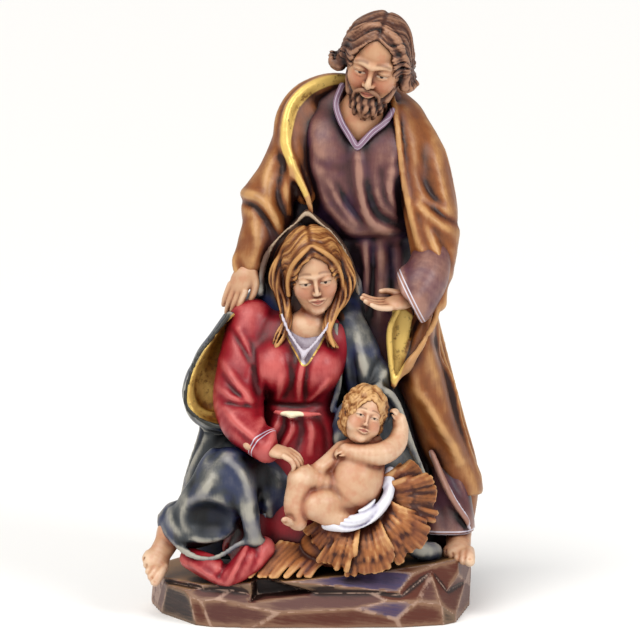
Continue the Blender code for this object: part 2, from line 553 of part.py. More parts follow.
@dataclass(frozen=True)
class Seated(Person):
    """The woman who sits in front, her mantle drawn over her hair."""

    def dress(self) -> Carving:
        """The belted dress, its sleeve, and its hem on the ground."""
        d = Carving()
        d.add(Stack([
            (28, -46, 30, -40, 20), (70, -36, 26, -38, 10), (95, -28, 16, -34, 2), (107, -25, 12, -31, 0),
            (122, -27, 16, -36, 0), (135, -33, 22, -33, 4), (146, -34, 22, -27, 4),
            (152, -22, 14, -22, 2)], edge=5))
        d.bar((-30, -14, 146, 12), (-33, -20, 128, 13), (-36, -28, 110, 13), (-34, -36, 99, 11),
              (-28, -43, 93, 9),
              (-22, -49, 88, 7), blend=3)
        d.bar((-60, -37, 31, 5.5), (-50, -47, 28.5, 6.5), (-41, -52, 27, 6.5), (-31, -51, 32, 6.5),
              (-24, -46, 38, 6),
              blend=4)
        for x in (-19, 4):
            d.add(Ball((x, -32, 126), (9, 8, 10)), 9)
        d.groove((-2, -24, 156, 10), (-3, -34, 146, 6.5), (-4, -39, 138, 2.5))
        d.bar((-15, -30, 152, 0.9), (-12, -34, 145, 0.9), (-8, -38, 139, 0.9), (-4, -40.5, 133.5, 0.9))
        d.bar((9, -31, 149, 0.9), (6, -35, 144, 0.9), (1, -38.5, 138.5, 0.9), (-4, -40.5, 133.5, 0.9))
        front = (Side.FRONT, -14)
        d.folds(BROAD_FOLD, -2.6, [[(-34, 142), (-29, 130), (-27.5, 116), (-27, 104)]], *front)
        d.folds(FINE_FOLD, 2.2,
                fan([(-44, 128), (-37, 119), (-29, 111)], [(-43, 107), (-35, 99), (-26, 92)], 2), *front)
        d.folds(FINE_FOLD, -1.8,
                fan([(-43, 122), (-37, 114), (-30, 108)], [(-43, 110), (-37, 109), (-31, 108)], 2),
                *front)
        d.folds(FINE_FOLD, 2.2, fan([(-16, 106), (-19, 97), (-23, 89)], [(3, 105), (6, 96), (7, 84)], 4),
                *front)
        d.folds(FINE_FOLD, -1.8,
                [[(-23, 107.5), (-10, 106.5), (4, 107)], [(-12, 132), (-10, 121), (-13, 111)]], *front)
        d.folds(FINE_FOLD, 2.6, [[(-41, 22), (-37, 31), (-31, 43)]], *front)
        return d

    def wing(self) -> Carving:
        """The mantle held up behind the arm, its hollow and its thin edge."""
        w = Carving()
        w.add(Stack([
            (94, -53, -30, -34, 8), (98.5, -58.5, -30, -34, 8), (105, -62, -29, -33, 8),
            (114, -63, -29, -32, 8),
            (129, -58, -29, -30, 6), (139.5, -50.5, -28, -27, 4), (151, -42.5, -24, -22, 2)], power=3.4))
        w.cut(Stack([
            (98.5, -55, -32, -60, -20), (106, -61, -31, -60, -17), (116, -61.2, -31, -60, -15),
            (129, -55.2, -31, -60, -14), (139, -48.8, -32, -60, -14), (150, -41, -33, -60, -15)],
            power=3.0, edge=6), 1.5)
        w.bar((-41, -22, 150.5, 1.3), (-49.8, -26, 139.5, 1.3), (-57.4, -30, 129, 1.3),
              (-62.2, -32, 113.5, 1.3),
              (-61, -33, 105, 1.3), (-52, -34, 98.4, 1.3), (-40, -37, 96, 1.3))
        return w

    def lap(self) -> Carving:
        """The raised knee with the scooped fold under it, and the lap beside it."""
        m = Carving()
        m.bar((-5, -12, 62, 20), (-24, -26, 66, 17), (-43, -34, 70, 15))
        m.bar((-43, -36, 70, 16), (-50, -36, 57, 16), (-57, -32, 49, 13.5), (-64, -26, 45, 10.5), blend=6)
        m.bar((-40, -42, 80, 8), (-34, -47, 68, 6.5), (-29.5, -50, 55, 5.5), (-28, -49, 44, 5), blend=4)
        m.cut(Ball((-52, -56, 51.5), (17, 14, 11.5), (0, 8, 0)), 3)
        m.groove((-19, -44, 76, 3), (-20.5, -47, 60, 3.4), (-21, -48, 46, 3), blend=3)
        m.bar((-73, -24, 48, 1.6), (-69, -36, 40.5, 1.5), (-61, -46, 35, 1.4), (-50, -51, 33.5, 1.4),
              (-42, -52, 37, 1.4), (-34, -51, 41.5, 1.4), (-20, -46, 41, 1.4), blend=4)
        return m

    def mantle(self) -> Carving:
        """The mantle: veil, wing, both sides, lap and hem."""
        m = Carving().add(Stack([
            (148, -27, 25, -18, 12), (162, -26.5, 24, -20.5, 14), (174, -24.3, 20.8, -21.5, 15),
            (184, -20.6, 16.2, -21.5, 14), (191, -14.5, 11, -21.5, 11), (196, -9, 5.5, -21, 6),
            (200, -5, 0.5, -20, -4), (202, -3.4, -1.6, -19, -10)], edge=1.5))
        m.add(Stack([
            (24, -58, 62, -14, 26), (45, -66, 60, -16, 24), (60, -64, 57, -18, 22),
            (74, -59.5, 53, -18, 19),
            (88, -55, 45, -14, 16), (108, -52, 39, -12, 14), (135, -46, 29, -12, 12),
            (150, -38, 25, -12, 10),
            (165, -27, 23, -12, 10)], edge=4), 6)
        m.add(self.wing(), 4)
        m.cut(Stack([
            (148, -22, 20, -60, -16), (165, -22, 19, -60, -13), (180, -19, 16, -60, -15),
            (190, -12, 9, -60, -17),
            (196, -5, 2, -60, -19)]), 3)
        m.bar((-25.5, -15, 160, 1), (-23.5, -18, 174, 1), (-19.8, -20, 184, 1), (-13.6, -20.5, 191.5, 1),
              (-8, -20.5, 196, 1), (-2.5, -20.5, 201, 1.1), (4, -20.5, 196, 1), (10, -20.5, 191, 1),
              (15.4, -20, 183.5, 1), (19.8, -18, 173, 1), (23, -15, 160, 1))
        m.add(self.lap(), 6)
        m.bar((17, -14, 146, 9), (24, -16, 128, 11), (30, -18, 110, 11), (28, -26, 98, 9),
              (18, -30, 90, 8), blend=5)
        m.bar((12, -28, 96, 2.2), (16, -30, 106, 2.2), (26, -31, 112, 2.4), (36, -29, 113, 2.4),
              (42, -26, 106, 2.2),
              (49, -26, 86, 2), (57, -26, 66, 1.8), blend=3)
        m.bar((11.5, -24, 146, 1.6), (12.5, -28, 130, 1.7), (13, -28, 116, 1.7), (10, -28, 104, 1.6))
        m.bar((44, -32, 40, 4), (54, -32, 34, 5), (60, -26, 32, 5), blend=4)
        front = (Side.FRONT, -4)
        m.folds(BROAD_FOLD, -2.2, [[(-54, 84), (-58, 70), (-58, 62)], [(31, 108), (35, 96), (40, 80)]],
                *front)
        m.folds(BROAD_FOLD, 2.4, [[(-49, 74), (-54, 67), (-58, 62)], [(-22, 64), (-21, 54), (-17, 46)]],
                *front)
        m.folds(FINE_FOLD, -1.6, [[(-27, 66), (-26, 55), (-24, 46)], [(-50, 82), (-43, 87), (-34, 88)]],
                *front)
        m.folds(FINE_FOLD, 1.8,
                fan([(17, 142), (17, 126), (18, 112)], [(22, 140), (26, 124), (29, 108)], 2), *front)
        m.folds(BROAD_FOLD, 1.4,
                fan([(-22, 186), (-26, 172), (-25, 158)], [(22, 186), (25, 172), (25, 158)], 2), *front)
        ridges = (
            [(-12, 184), (-21, 150), (-38, 90), (-56, 40), (-58, 24)],
            [(-3, 186), (-8, 140), (-18, 80), (-36, 24)],
            [(8, 182), (10, 140), (6, 80), (-10, 24)], [(20, 150), (30, 100), (36, 50), (30, 24)])
        valleys = (
            [(-8, 170), (-16, 130), (-30, 80), (-48, 24)], [(3, 164), (0, 120), (-8, 70), (-24, 24)],
            [(14, 160), (20, 110), (20, 60), (8, 24)])
        m.folds(PLEAT, PLEAT_DEPTH, ridges, Side.BACK, 0)
        m.folds(BROAD_FOLD, -PLEAT_DEPTH, valleys, Side.BACK, 0)
        first = [(-24, 120), (-22, 80), (-24, 40), (-26, 26)]
        m.folds(BROAD_FOLD, 2.4, fan(first, [(-3, 120), (2, 80), (12, 40), (13, 26)], 4), Side.LEFT, -40)
        return m

    def hair(self) -> list[Form]:
        """Hair parted in the middle, with three wavy locks to the chest on either side."""
        cap = Carving(0.2).add(Ball((0, 0.06, 0.13), (0.375, 0.46, 0.42)))
        cap.cut(Ball((0, -0.44, -0.14), (0.275, 0.34, 0.47)), 0.04)
        for s in (-1, 1):
            for k in range(3):
                q = 0.07 * k
                cap.bar((s * 0.02, q - 0.33, 0.42, 0.04), (s * 0.17, q - 0.385, 0.33, 0.05),
                        (s * 0.29, q - 0.33, 0.17, 0.05), (s * 0.35, q - 0.25, 0.0, 0.05),
                        (s * (0.36 + 0.02 * k), q - 0.19, -0.2, 0.05), blend=0.03)
        locks = Carving().add(Stack([
            (148, -15, 14, -23, -8), (165, -20, 19, -23, -8), (180, -18.5, 17, -22, -8),
            (190, -12, 11, -22, -8)],
            edge=4))
        left = [
            (-12.5, -24, 184), (-16, -22.5, 176), (-16.8, -22, 167), (-13.6, -24, 158.5),
            (-12.4, -27.5, 150),
            (-15, -31.5, 142.5), (-18.2, -33.5, 135.5)]
        right = [
            (12.5, -25, 184), (16, -23.5, 176), (17.2, -23, 168), (14.8, -25, 160), (9.8, -28.5, 152),
            (8, -33, 144.5), (10.8, -34.5, 137.5)]
        for path in (left, right):
            for k in range(3):
                a = math.radians(120 * k - 90)
                rows = [(x + 2.3 * math.cos(a), y + 2.3 * math.sin(a), z, 2.5 - 0.25 * j)
                        for j, (x, y, z) in enumerate(path)]
                locks.add(Limb(rows), 0.6)
        return [self.set_on(cap), locks]

    def body(self) -> list[Form]:
        """Every form of the figure."""
        neck = Carving().bar((-2, -12, 138, 9), (0, -16, 156, 7.5)).add(Ball((-2, -22, 144), (12, 9, 9)), 4)
        hand = Placed(hand_form(34), (-22, -51, 88.5), facing((1.0, -0.34, -0.20), (0.0, 0.25, -1.0)), 25)
        foot = Placed(foot_form(), (-70.5, -27, 40), facing((-0.50, -0.78, -0.66), (-0.45, 0.35, -0.9)), 31)
        ankle = Limb([(-62, -18, 46, 9), (-70, -24, 42, 7)])
        return [self.dress(), self.mantle(), neck, self.face(), *self.hair(), hand, foot, ankle]


@dataclass(frozen=True)
class Lying(Person):
    """The child who lies back on the straw."""

    def limbs(self) -> Carving:
        """The trunk, the arms and the legs."""
        b = Carving()
        b.bar((25, -38, 92, 6), (26, -39, 86, 10), (23, -42, 79, 13), (20, -45, 70, 14.5),
              (14, -46, 62, 12), blend=3)
        b.bar((15, -43, 86, 5), (9, -48, 82, 4.2), (4, -52, 79, 3.8))
        b.bar((17, -49.5, 87, 4), (25, -52, 86, 5), (34, -51, 86, 5.7), (41, -45, 89.5, 5.2),
              (43.5, -41, 96, 4.4),
              (43, -40, 101, 3.4))
        b.bar((10, -47, 66, 10), (-1, -53, 73, 7.5), (-5, -55, 74, 6.8))
        b.bar((-5, -56, 73, 6.8), (-8, -58, 62, 5.8), (-7, -58, 54, 4.8))
        b.bar((15, -49, 60, 9), (6, -56, 62, 8.2), (2, -58, 62, 7.4))
        b.bar((2, -59, 61, 6.4), (12, -58, 55, 5.6), (18, -56, 54, 4))
        b.add(Placed(foot_form(), (-6.5, -58, 54), facing((-0.7, -0.55, 0.45), (-0.2, -0.3, -1.0)), 15), 1)
        b.add(Placed(hand_form(50), (43, -40.5, 101), facing((-0.35, -0.3, 1.0), (-0.8, 0.5, -0.1)), 9.5),
              0.4)
        b.add(Placed(hand_form(40), (5, -52, 79), facing((-1.0, -0.25, -0.2), (0.1, -0.3, 1.0)), 10), 0.5)
        b.add(Placed(hand_form(46), (18, -50, 87), facing((-1.0, -0.25, 0.1), (0.1, 0.4, -1.0)), 10), 0.5)
        return b

    def hair(self) -> Placed:
        """Short curls all over the head."""
        cap = Carving(0.2).add(Ball((0, 0.08, 0.12), (0.39, 0.45, 0.43)))
        cap.add(Ball((0, 0.12, -0.14), (0.37, 0.29, 0.25)), 0.1)
        cap.cut(Ball((0, -0.46, -0.15), (0.255, 0.34, 0.40)), 0.05)
        for i in range(24):
            up, about = math.radians(-20 + 55 * (i % 3)), math.radians(15 * i - 172)
            out = np.array([math.cos(up) * math.sin(about), math.cos(up) * math.cos(about), math.sin(up)])
            if out[1] > -0.4 or out[2] > 0.5:
                cap.add(Ball(np.array([0, 0.08, 0.10]) + out * (0.34, 0.40, 0.38), 0.09), 0.03)
        return self.set_on(cap)

    def cloth(self) -> Limb:
        """The strip of cloth under the child."""
        return Limb([
            (7, -59, 52, 2.4), (11, -60.5, 52.5, 3.4), (19, -60, 53.5, 4.4),
            (29, -56, 57.5, 4.4),
            (36.5, -49, 65, 3.6), (38.5, -44, 76, 2.4)], flat=0.9)

    def body(self) -> list[Form]:
        """Every form of the figure."""
        return [self.limbs(), self.face(), self.hair(), self.cloth()]


@dataclass(frozen=True)
class Straw:
    """The bed of straw: bundles of flat blades that fan out from under the child."""

    blade: float
    heart: tuple[float, float, float] = (25.0, -40.0, 66.0)
    reach: float = 38.0
    bundles: int = 9
    blades: int = 5

    def straw(self, angle: float, reach: float, lift: float) -> Limb:
        """One blade: its direction seen from the front in degrees, how far it goes, and how high it lies."""
        a = math.radians(angle)
        down, rows = max(0.0, -math.sin(a)), []
        for t in (0.0, 0.3, 0.6, 0.85, 1.0):
            far = 12 + (reach - 12) * t
            x, z = self.heart[0] + far * math.cos(a), self.heart[2] + far * math.sin(a)
            y = self.heart[1] - (7 + 10 * down) * math.sin(t * 2.0) - lift + 12 * (1 - down) * t * t
            rows.append((x, y, z - 1.5 * t * t, self.blade * (0.42 + 0.10 * t)))
        return Limb(rows, flat=0.5, across=(-0.3 * math.cos(a), -0.85, 0.35), per_span=2)

    def carving(self) -> Carving:
        """The mound, its blades, and a few blades on the ground beside it."""
        s = Carving().add(Ball((27, -30, 50), (29, 22, 22))).add(Ball((20, -40, 38), (26, 15, 12)), 4)
        for bundle in range(self.bundles):
            reach = self.reach - 2 * (bundle % 2) - 0.6 * abs(bundle - 4)
            for layer in range(2):
                for i in range(self.blades):
                    angle = 21.0 * (bundle + i / self.blades) + 4 * layer - 150
                    lift = 2.2 * (bundle % 2) + 1.8 * layer + 0.35 * i
                    s.add(self.straw(angle, reach * (1 - 0.17 * layer) - 0.5 * i, lift), 0.3)
        for i in range(9):
            foot = -26 + 3.5 * i
            s.bar((foot + 11, -42, 39, 1.8), (foot + 2, -49, 31.5, 1.8), (foot - 4, -54, 25.6, 1.6),
                  blend=0.3)
        return s


@dataclass(frozen=True)
class Rock:
    """The ground: two tiers of broken facets, in millimetres."""

    width: float
    depth: float
    height: float
    seed: int = 11

    def block(self, planes: Sequence[tuple[Row, Row]]) -> Block:
        """A block of planes drawn at the nominal sizes, stretched to this rock's own."""
        k = np.array([self.width / DRAWN_WIDTH, self.depth / DRAWN_DEPTH, self.height / DRAWN_BASE])
        floor = ((0, 0, 0), (0, 0, -1))
        rows = [floor, *((np.array(point) * k, np.array(out) / k) for point, out in planes)]
        return Block(rows, np.array([-84, -62, 0]) * k, np.array([84, 56, 34]) * k)

    def carving(self) -> Carving:
        """Both tiers, and the wedge broken out of the front."""
        rng = np.random.default_rng(self.seed)
        back = []
        for i in range(9):
            a = math.radians(25.0 * i - 8) + rng.uniform(-0.08, 0.08)
            x, y = math.cos(a), math.sin(a)
            r = 1 / ((abs(x) / 78) ** 2.6 + (abs(y) / 50) ** 2.6) ** (1 / 2.6)
            back.append(((x * r, y * r, 12), (x, y, rng.uniform(-0.22, 0.28))))
        lower = [
            ((-72, -30, 8), (-0.82, -0.52, -0.20)), ((-63, -48, 6), (-0.48, -0.88, -0.16)),
            ((-34, -56.6, 8), (-0.14, -0.99, -0.02)), ((-4, -59, 9), (0.02, -1, -0.26)),
            ((24, -58.6, 9), (0.10, -0.99, 0.02)), ((50, -55.4, 9), (0.26, -0.96, -0.16)),
            ((69.5, -46, 8), (0.72, -0.70, -0.06)), ((-44, -55.5, 14.2), (-0.18, -0.72, 0.66)),
            ((0, -57.6, 11.4), (-0.02, -0.86, 0.5)), ((34, -56.6, 14.8), (0.12, -0.70, 0.70)),
            ((60, -51.5, 13.4), (0.32, -0.72, 0.6)), ((77.5, -20, 9), (0.90, -0.36, 0.55)),
            ((0, 0, 22), (-0.07, 0, 1))]
        upper = [
            ((-68, -30, 14), (-0.75, -0.62, -0.35)), ((-40, -52, 16), (-0.18, -0.95, -0.24)),
            ((-8, -55, 18), (0, -1, -0.45)), ((37, -53.5, 20.5), (0.10, -0.80, 0.60)),
            ((60, -42, 20), (0.55, -0.78, 0.16)), ((73.5, -26, 18), (0.88, -0.36, -0.46)),
            ((0, -20, 24.4), (-0.072, 0, 1)), ((62, -40, 28.2), (0.10, -0.42, 0.90))]
        wedge = [
            ((-2, -60, 20), (0.25, 0.2, 0.9)), ((-2, -60, 16), (0.12, 0.1, -1)),
            ((0, -46, 18), (0, 1, 0.1)),
            ((36, -55, 17), (1, 0.2, 0)), ((-30, -55, 17), (-1, 0.3, 0))]
        return Carving().add(self.block(back + lower)).add(self.block(back + upper)).cut(self.block(wedge))


def sampled(form: Form, step: float, low: np.ndarray, high: np.ndarray) -> np.ndarray:
    """Distances on a grid, worked out near the surface and plus or minus FAR elsewhere."""
    side, cell = CELLS * CELL, CELL * step
    blocks = np.maximum(1, np.ceil((high - low) / (step * side)).astype(int))
    grid = np.full(blocks * side, FAR, np.float32)
    middles = np.indices((CELLS,) * 3).reshape(3, -1).T * cell + (cell - step) / 2
    inner = np.indices((CELL,) * 3).reshape(3, -1).T * step
    for block in np.ndindex(*blocks):
        corner = low + np.array(block) * side * step
        probe = form.distance(corner + middles)
        close = np.abs(probe) < cell * 1.1 + 1.0
        value = np.repeat(np.where(probe > 0, FAR, -FAR)[:, None], CELL**3, axis=1)
        if close.any():
            near = (corner + middles[close] - (cell - step) / 2)[:, None, :] + inner[None]
            value[close] = form.distance(near.reshape(-1, 3)).reshape(-1, CELL**3)
        value = value.reshape((CELLS,) * 3 + (CELL,) * 3).transpose(0, 3, 1, 4, 2, 5).reshape((side,) * 3)
        i, j, k = (n * side for n in block)
        grid[i : i + side, j : j + side, k : k + side] = value
    return grid


def main_body(points: np.ndarray, faces: np.ndarray) -> tuple[np.ndarray, np.ndarray]:
    """Keeps the largest connected skin, which leaves the wood behind it solid."""
    label = np.arange(len(points))
    while True:
        least = label[faces].min(1)
        after = label.copy()
        np.minimum.at(after, faces.ravel(), np.repeat(least, faces.shape[1]))
        after = after[after]
        if np.array_equal(after, label):
            break
        label = after
    names, counts = np.unique(label[faces[:, 0]], return_counts=True)
    kept = faces[label[faces[:, 0]] == names[counts.argmax()]]
    used, renumbered = np.unique(kept, return_inverse=True)
    return points[used], renumbered.reshape(kept.shape)


def carved(name: str, form: Form) -> bpy.types.Object:
    """Cuts a form's surface as a mesh and leaves it in flat facets."""
    low, high = form.low - 3 * CUT_STEP - 2, form.high + 3 * CUT_STEP + 2
    values = np.clip(sampled(form, CUT_STEP, low, high), -3 * CUT_STEP, 3 * CUT_STEP).astype(np.float32)
    grid = openvdb.FloatGrid(3 * CUT_STEP)
    grid.copyFromArray(values)
    points, _, quads = grid.convertToPolygons(isovalue=0.0, adaptivity=0.0)
    points, quads = main_body(np.asarray(points, float) * CUT_STEP + low, np.asarray(quads))
    mesh = bpy.data.meshes.new(name)
    mesh.from_pydata((points * MILLIMETRE).tolist(), [], quads.tolist())
    mesh.update()
    made = bpy.data.objects.new(name, mesh)
    bpy.context.scene.collection.objects.link(made)
    facets = made.modifiers.new("facets", "DECIMATE")
    facets.ratio = FACETS / (2 * len(quads))
    facets.use_collapse_triangulate = True
    return made


def painted_wood() -> bpy.types.Material:
    """Oil-glazed carved wood."""
    material = bpy.data.materials.new("painted_wood")
    material.use_nodes = True
    shader = material.node_tree.nodes["Principled BSDF"]
    shader.inputs["Base Color"].default_value = (0.30, 0.16, 0.09, 1)
    shader.inputs["Roughness"].default_value = 0.5
    return material


def main() -> None:
    """Builds the group."""
    for old in list(bpy.data.objects):
        bpy.data.objects.remove(old, do_unlink=True)
    base_height = BASE_HEIGHT / MILLIMETRE
    scale = (GROUP_HEIGHT / MILLIMETRE - base_height) / (DRAWN_HEIGHT - DRAWN_BASE)
    lift = (0, 0, base_height - DRAWN_BASE * scale)
    man = Standing((32.0, -5.0, 275.2), (19, 13, -7), 44.0)
    woman = Seated((0.5, -23.0, 172.0), (14, -7, 4), 39.0)
    child = Lying((25.5, -43.0, 103.5), (-8, 18, 8), 28.5, jaw=0.20)
    straw = Straw(BLADE_WIDTH / MILLIMETRE / scale)
    group = Carving()
    for form in (*man.body(), *woman.body(), *child.body(), straw.carving()):
        group.add(form, SEAM_FILLET)
    whole = Carving()
    whole.add(Rock(BASE_WIDTH / MILLIMETRE, BASE_DEPTH / MILLIMETRE, base_height).carving())
    whole.add(Placed(group, lift, (0, 0, 0), scale), SEAM_FILLET)
    carved("holy_family_group", whole).data.materials.append(painted_wood())


main()
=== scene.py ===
"""Dresses the carved holy family group: painted, glazed and gilded wood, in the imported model's frame."""

from __future__ import annotations

import logging
import math
import sys
from dataclasses import dataclass, field
from enum import Enum
from typing import Callable, Sequence

import bpy
import numpy as np
import openvdb
from mathutils import Euler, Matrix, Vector


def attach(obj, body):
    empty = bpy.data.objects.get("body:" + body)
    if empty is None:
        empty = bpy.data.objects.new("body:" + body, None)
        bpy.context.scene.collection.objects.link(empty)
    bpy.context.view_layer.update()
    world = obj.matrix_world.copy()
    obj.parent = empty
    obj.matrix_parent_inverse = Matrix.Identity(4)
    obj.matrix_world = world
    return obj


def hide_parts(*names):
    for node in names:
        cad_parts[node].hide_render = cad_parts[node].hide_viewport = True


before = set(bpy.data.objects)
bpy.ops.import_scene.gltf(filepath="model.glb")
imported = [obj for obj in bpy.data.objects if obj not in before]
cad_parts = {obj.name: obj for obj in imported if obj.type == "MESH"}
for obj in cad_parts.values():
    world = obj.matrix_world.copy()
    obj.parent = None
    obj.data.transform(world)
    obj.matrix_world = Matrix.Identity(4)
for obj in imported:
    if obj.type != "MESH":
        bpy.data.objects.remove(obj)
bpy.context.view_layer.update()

log = logging.getLogger("holy_family")

NODE = "holy_family_group"
BODY = "root"
MILLIMETRE = 0.001
FAR = 1000.0
CELL = 4
CELLS = 8
QUICK_COARSER = 1.0
HEAD_REACH = 0.2
FACE_FINER = 0.86
CHILD_FACE_FINER = 0.75
DRESS_FINER = 0.8
RIDGE_AREA = 2.0
SWELL_AREA = 34.0
AREA_LIMIT = 20.0
WAVE_OVER, WAVE_TURN = 5.5, 1.7

Row = Sequence[float]
Rows = Sequence[Row]
Colour = tuple[float, float, float]


def paint(red: int, green: int, blue: int, strength: float = 0.74) -> Colour:
    """A colour given from 0 to 255 as it should look in the studio, made linear."""
    return tuple(strength * (c / 255) ** 2.2 for c in (red, green, blue))


def smooth_path(points: Rows, per_span: int = 4) -> np.ndarray:
    """Rounds a short list of points into a curve through them.

    Args:
        points: rows of coordinates, and of radii or the like beside them.
        per_span: steps between two of the points.

    Returns:
        The rows of a Catmull-Rom curve.
    """
    p = np.asarray(points, float)
    if len(p) < 3:
        return p
    ends = np.vstack([2 * p[0] - p[1], p, 2 * p[-1] - p[-2]])
    t = np.arange(per_span)[:, None] / per_span
    spans = [
        0.5 * (2 * b + (c - a) * t + (2 * a - 5 * b + 4 * c - d) * t**2 + (3 * b - a - 3 * c + d) * t**3)
        for a, b, c, d in zip(ends, ends[1:], ends[2:], ends[3:])
    ]
    return np.vstack([*spans, p[-1:]])


def fan(first: Rows, last: Rows, count: int) -> list[np.ndarray]:
    """Spreads lines evenly between two of them.

    Args:
        first: the first line's points.
        last: the last line's points, as many as the first one's.
        count: how many lines.

    Returns:
        The lines, in order.
    """
    a, b = np.asarray(first, float), np.asarray(last, float)
    return [a + (b - a) * i / max(1, count - 1) for i in range(count)]


def blend_min(a: np.ndarray, b: np.ndarray, k: float) -> np.ndarray:
    """Joins two distances.

    Args:
        a: the first distances.
        b: the second distances.
        k: the width of the fillet between them.

    Returns:
        The distances of what they cover together.
    """
    if k <= 0:
        return np.minimum(a, b)
    h = np.clip(0.5 + 0.5 * (b - a) / k, 0, 1)
    return b + (a - b) * h - k * h * (1 - h)


def blend_max(a: np.ndarray, b: np.ndarray, k: float) -> np.ndarray:
    """Keeps what two distances share, with a rounded edge about k wide."""
    return -blend_min(-a, -b, k)


def step_up(x: np.ndarray, low: float, high: float) -> np.ndarray:
    """Goes smoothly from 0 at low to 1 at high."""
    t = np.clip((x - low) / (high - low), 0, 1)
    return t * t * (3 - 2 * t)


def turned(degrees: Row) -> np.ndarray:
    """The rotation matrix of an XYZ turn in degrees."""
    return np.array(Euler([math.radians(a) for a in degrees]).to_matrix(), float)


def facing(along: Row, palm: Row) -> np.ndarray:
    """Axes for a hand or a foot.

    Args:
        along: the direction that X takes.
        palm: the direction that -Z takes, as nearly as X allows.

    Returns:
        A rotation matrix.
    """
    x = np.asarray(along, float) / np.linalg.norm(along)
    z = -np.asarray(palm, float)
    z = z - (z @ x) * x
    z /= np.linalg.norm(z)
    return np.column_stack([x, np.cross(z, x), z])


def corners(low: np.ndarray, high: np.ndarray) -> np.ndarray:
    """The eight corners of a box."""
    return np.array([[x, y, z] for x in (low[0], high[0]) for y in (low[1], high[1])
                     for z in (low[2], high[2])])


class Form:
    """A solid form: its box, and the signed distance to its surface."""

    low: np.ndarray
    high: np.ndarray

    def distance(self, p: np.ndarray) -> np.ndarray:
        """The distance to the surface at each point, less than 0 inside."""
        raise NotImplementedError

    def near(self, low: np.ndarray, high: np.ndarray, reach: float) -> bool:
        """Whether the form's box comes within reach of another box."""
        return bool(np.all(self.low - reach <= high) and np.all(self.high + reach >= low))


class Ball(Form):
    """An ellipsoid."""

    def __init__(self, centre: Row, radii: Row | float, turn: Row = (0, 0, 0)) -> None:
        """Sets the ball.

        Args:
            centre: its middle.
            radii: one radius, or one for each axis.
            turn: its turn in degrees.
        """
        self.centre = np.asarray(centre, float)
        self.radii = np.ones(3) * np.asarray(radii, float)
        self.axes = turned(turn)
        reach = np.sqrt(((self.axes * self.radii) ** 2).sum(1))
        self.low, self.high = self.centre - reach, self.centre + reach

    def distance(self, p: np.ndarray) -> np.ndarray:
        """The distance, close to true near the surface."""
        q = ((p - self.centre) @ self.axes) / self.radii
        size = np.sqrt((q * q).sum(1)) + 1e-9
        slope = np.sqrt(((q / self.radii) ** 2).sum(1)) + 1e-9
        return size * (size - 1) / slope


class Limb(Form):
    """A round or flattened bar along a smooth path. Each row is x, y, z and radius."""

    def __init__(self, rows: Rows, flat: float = 1.0, across: Row = (0, 1, 0), per_span: int = 4) -> None:
        """Sets the bar.

        Args:
            rows: points of the path, each with its radius.
            flat: how thick it is along one direction, as a share of its width.
            across: that direction.
            per_span: steps between two points.
        """
        path = smooth_path(rows, per_span)
        self.points, self.sizes = path[:, :3], path[:, 3]
        self.flat, self.across = flat, np.asarray(across, float) / np.linalg.norm(across)
        reach = self.sizes[:, None] * max(1.0, flat)
        self.low, self.high = (self.points - reach).min(0), (self.points + reach).max(0)

    def squeezed(self, v: np.ndarray) -> np.ndarray:
        """Stretches space so that a round bar comes out flattened along one direction."""
        if self.flat == 1.0:
            return v
        return v + (v @ self.across)[..., None] * self.across * (1 / self.flat - 1)

    def distance(self, p: np.ndarray) -> np.ndarray:
        """The distance to the nearest stretch of the bar."""
        q, points = self.squeezed(p), self.squeezed(self.points)
        best = np.full(len(p), FAR)
        for a, b, ra, rb in zip(points, points[1:], self.sizes, self.sizes[1:]):
            along, rel = b - a, q - a
            t = np.clip(rel @ along / max(along @ along, 1e-9), 0, 1)
            rel -= t[:, None] * along
            np.minimum(best, np.sqrt((rel * rel).sum(1)) - (ra + t * (rb - ra)), out=best)
        return best * min(1.0, self.flat)


def even(rows: Rows, radius: float, flat: float = 1.0) -> Limb:
    """A bar of one radius along a path."""
    return Limb([(*row, radius) for row in rows], flat=flat)


class Stack(Form):
    """A body of stacked rounded sections. Each row is height, left, right, front and back."""

    def __init__(self, rows: Rows, power: float = 2.2, edge: float = 3.0) -> None:
        """Sets the body.

        Args:
            rows: the sections.
            power: 2 for oval sections, and more for squarer ones.
            edge: how round its top and bottom edges are.
        """
        table = smooth_path(sorted(rows), 8)
        table[:, 0] = np.maximum.accumulate(table[:, 0] + np.arange(len(table)) * 1e-6)
        self.table, self.power, self.edge = table, power, edge
        self.low = np.array([table[:, 1].min(), table[:, 3].min(), table[0, 0]])
        self.high = np.array([table[:, 2].max(), table[:, 4].max(), table[-1, 0]])

    def distance(self, p: np.ndarray) -> np.ndarray:
        """The distance to the side or to an end, whichever bounds it."""
        height = self.table[:, 0]
        left, right, front, back = (np.interp(p[:, 2], height, self.table[:, i]) for i in range(1, 5))
        a, b = (right - left) / 2, (back - front) / 2
        x, y = np.abs(p[:, 0] - (left + right) / 2) / a, np.abs(p[:, 1] - (front + back) / 2) / b
        n = self.power
        size = (x**n + y**n) ** (1 / n) + 1e-6
        slope = np.sqrt((x ** (n - 1) / a) ** 2 + (y ** (n - 1) / b) ** 2) * size ** (1 - n) + 1e-6
        side = np.where(size < 0.3, -0.7 * np.minimum(a, b), (size - 1) / slope)
        ends = np.maximum(p[:, 2] - height[-1], height[0] - p[:, 2])
        return blend_max(side, ends, self.edge)


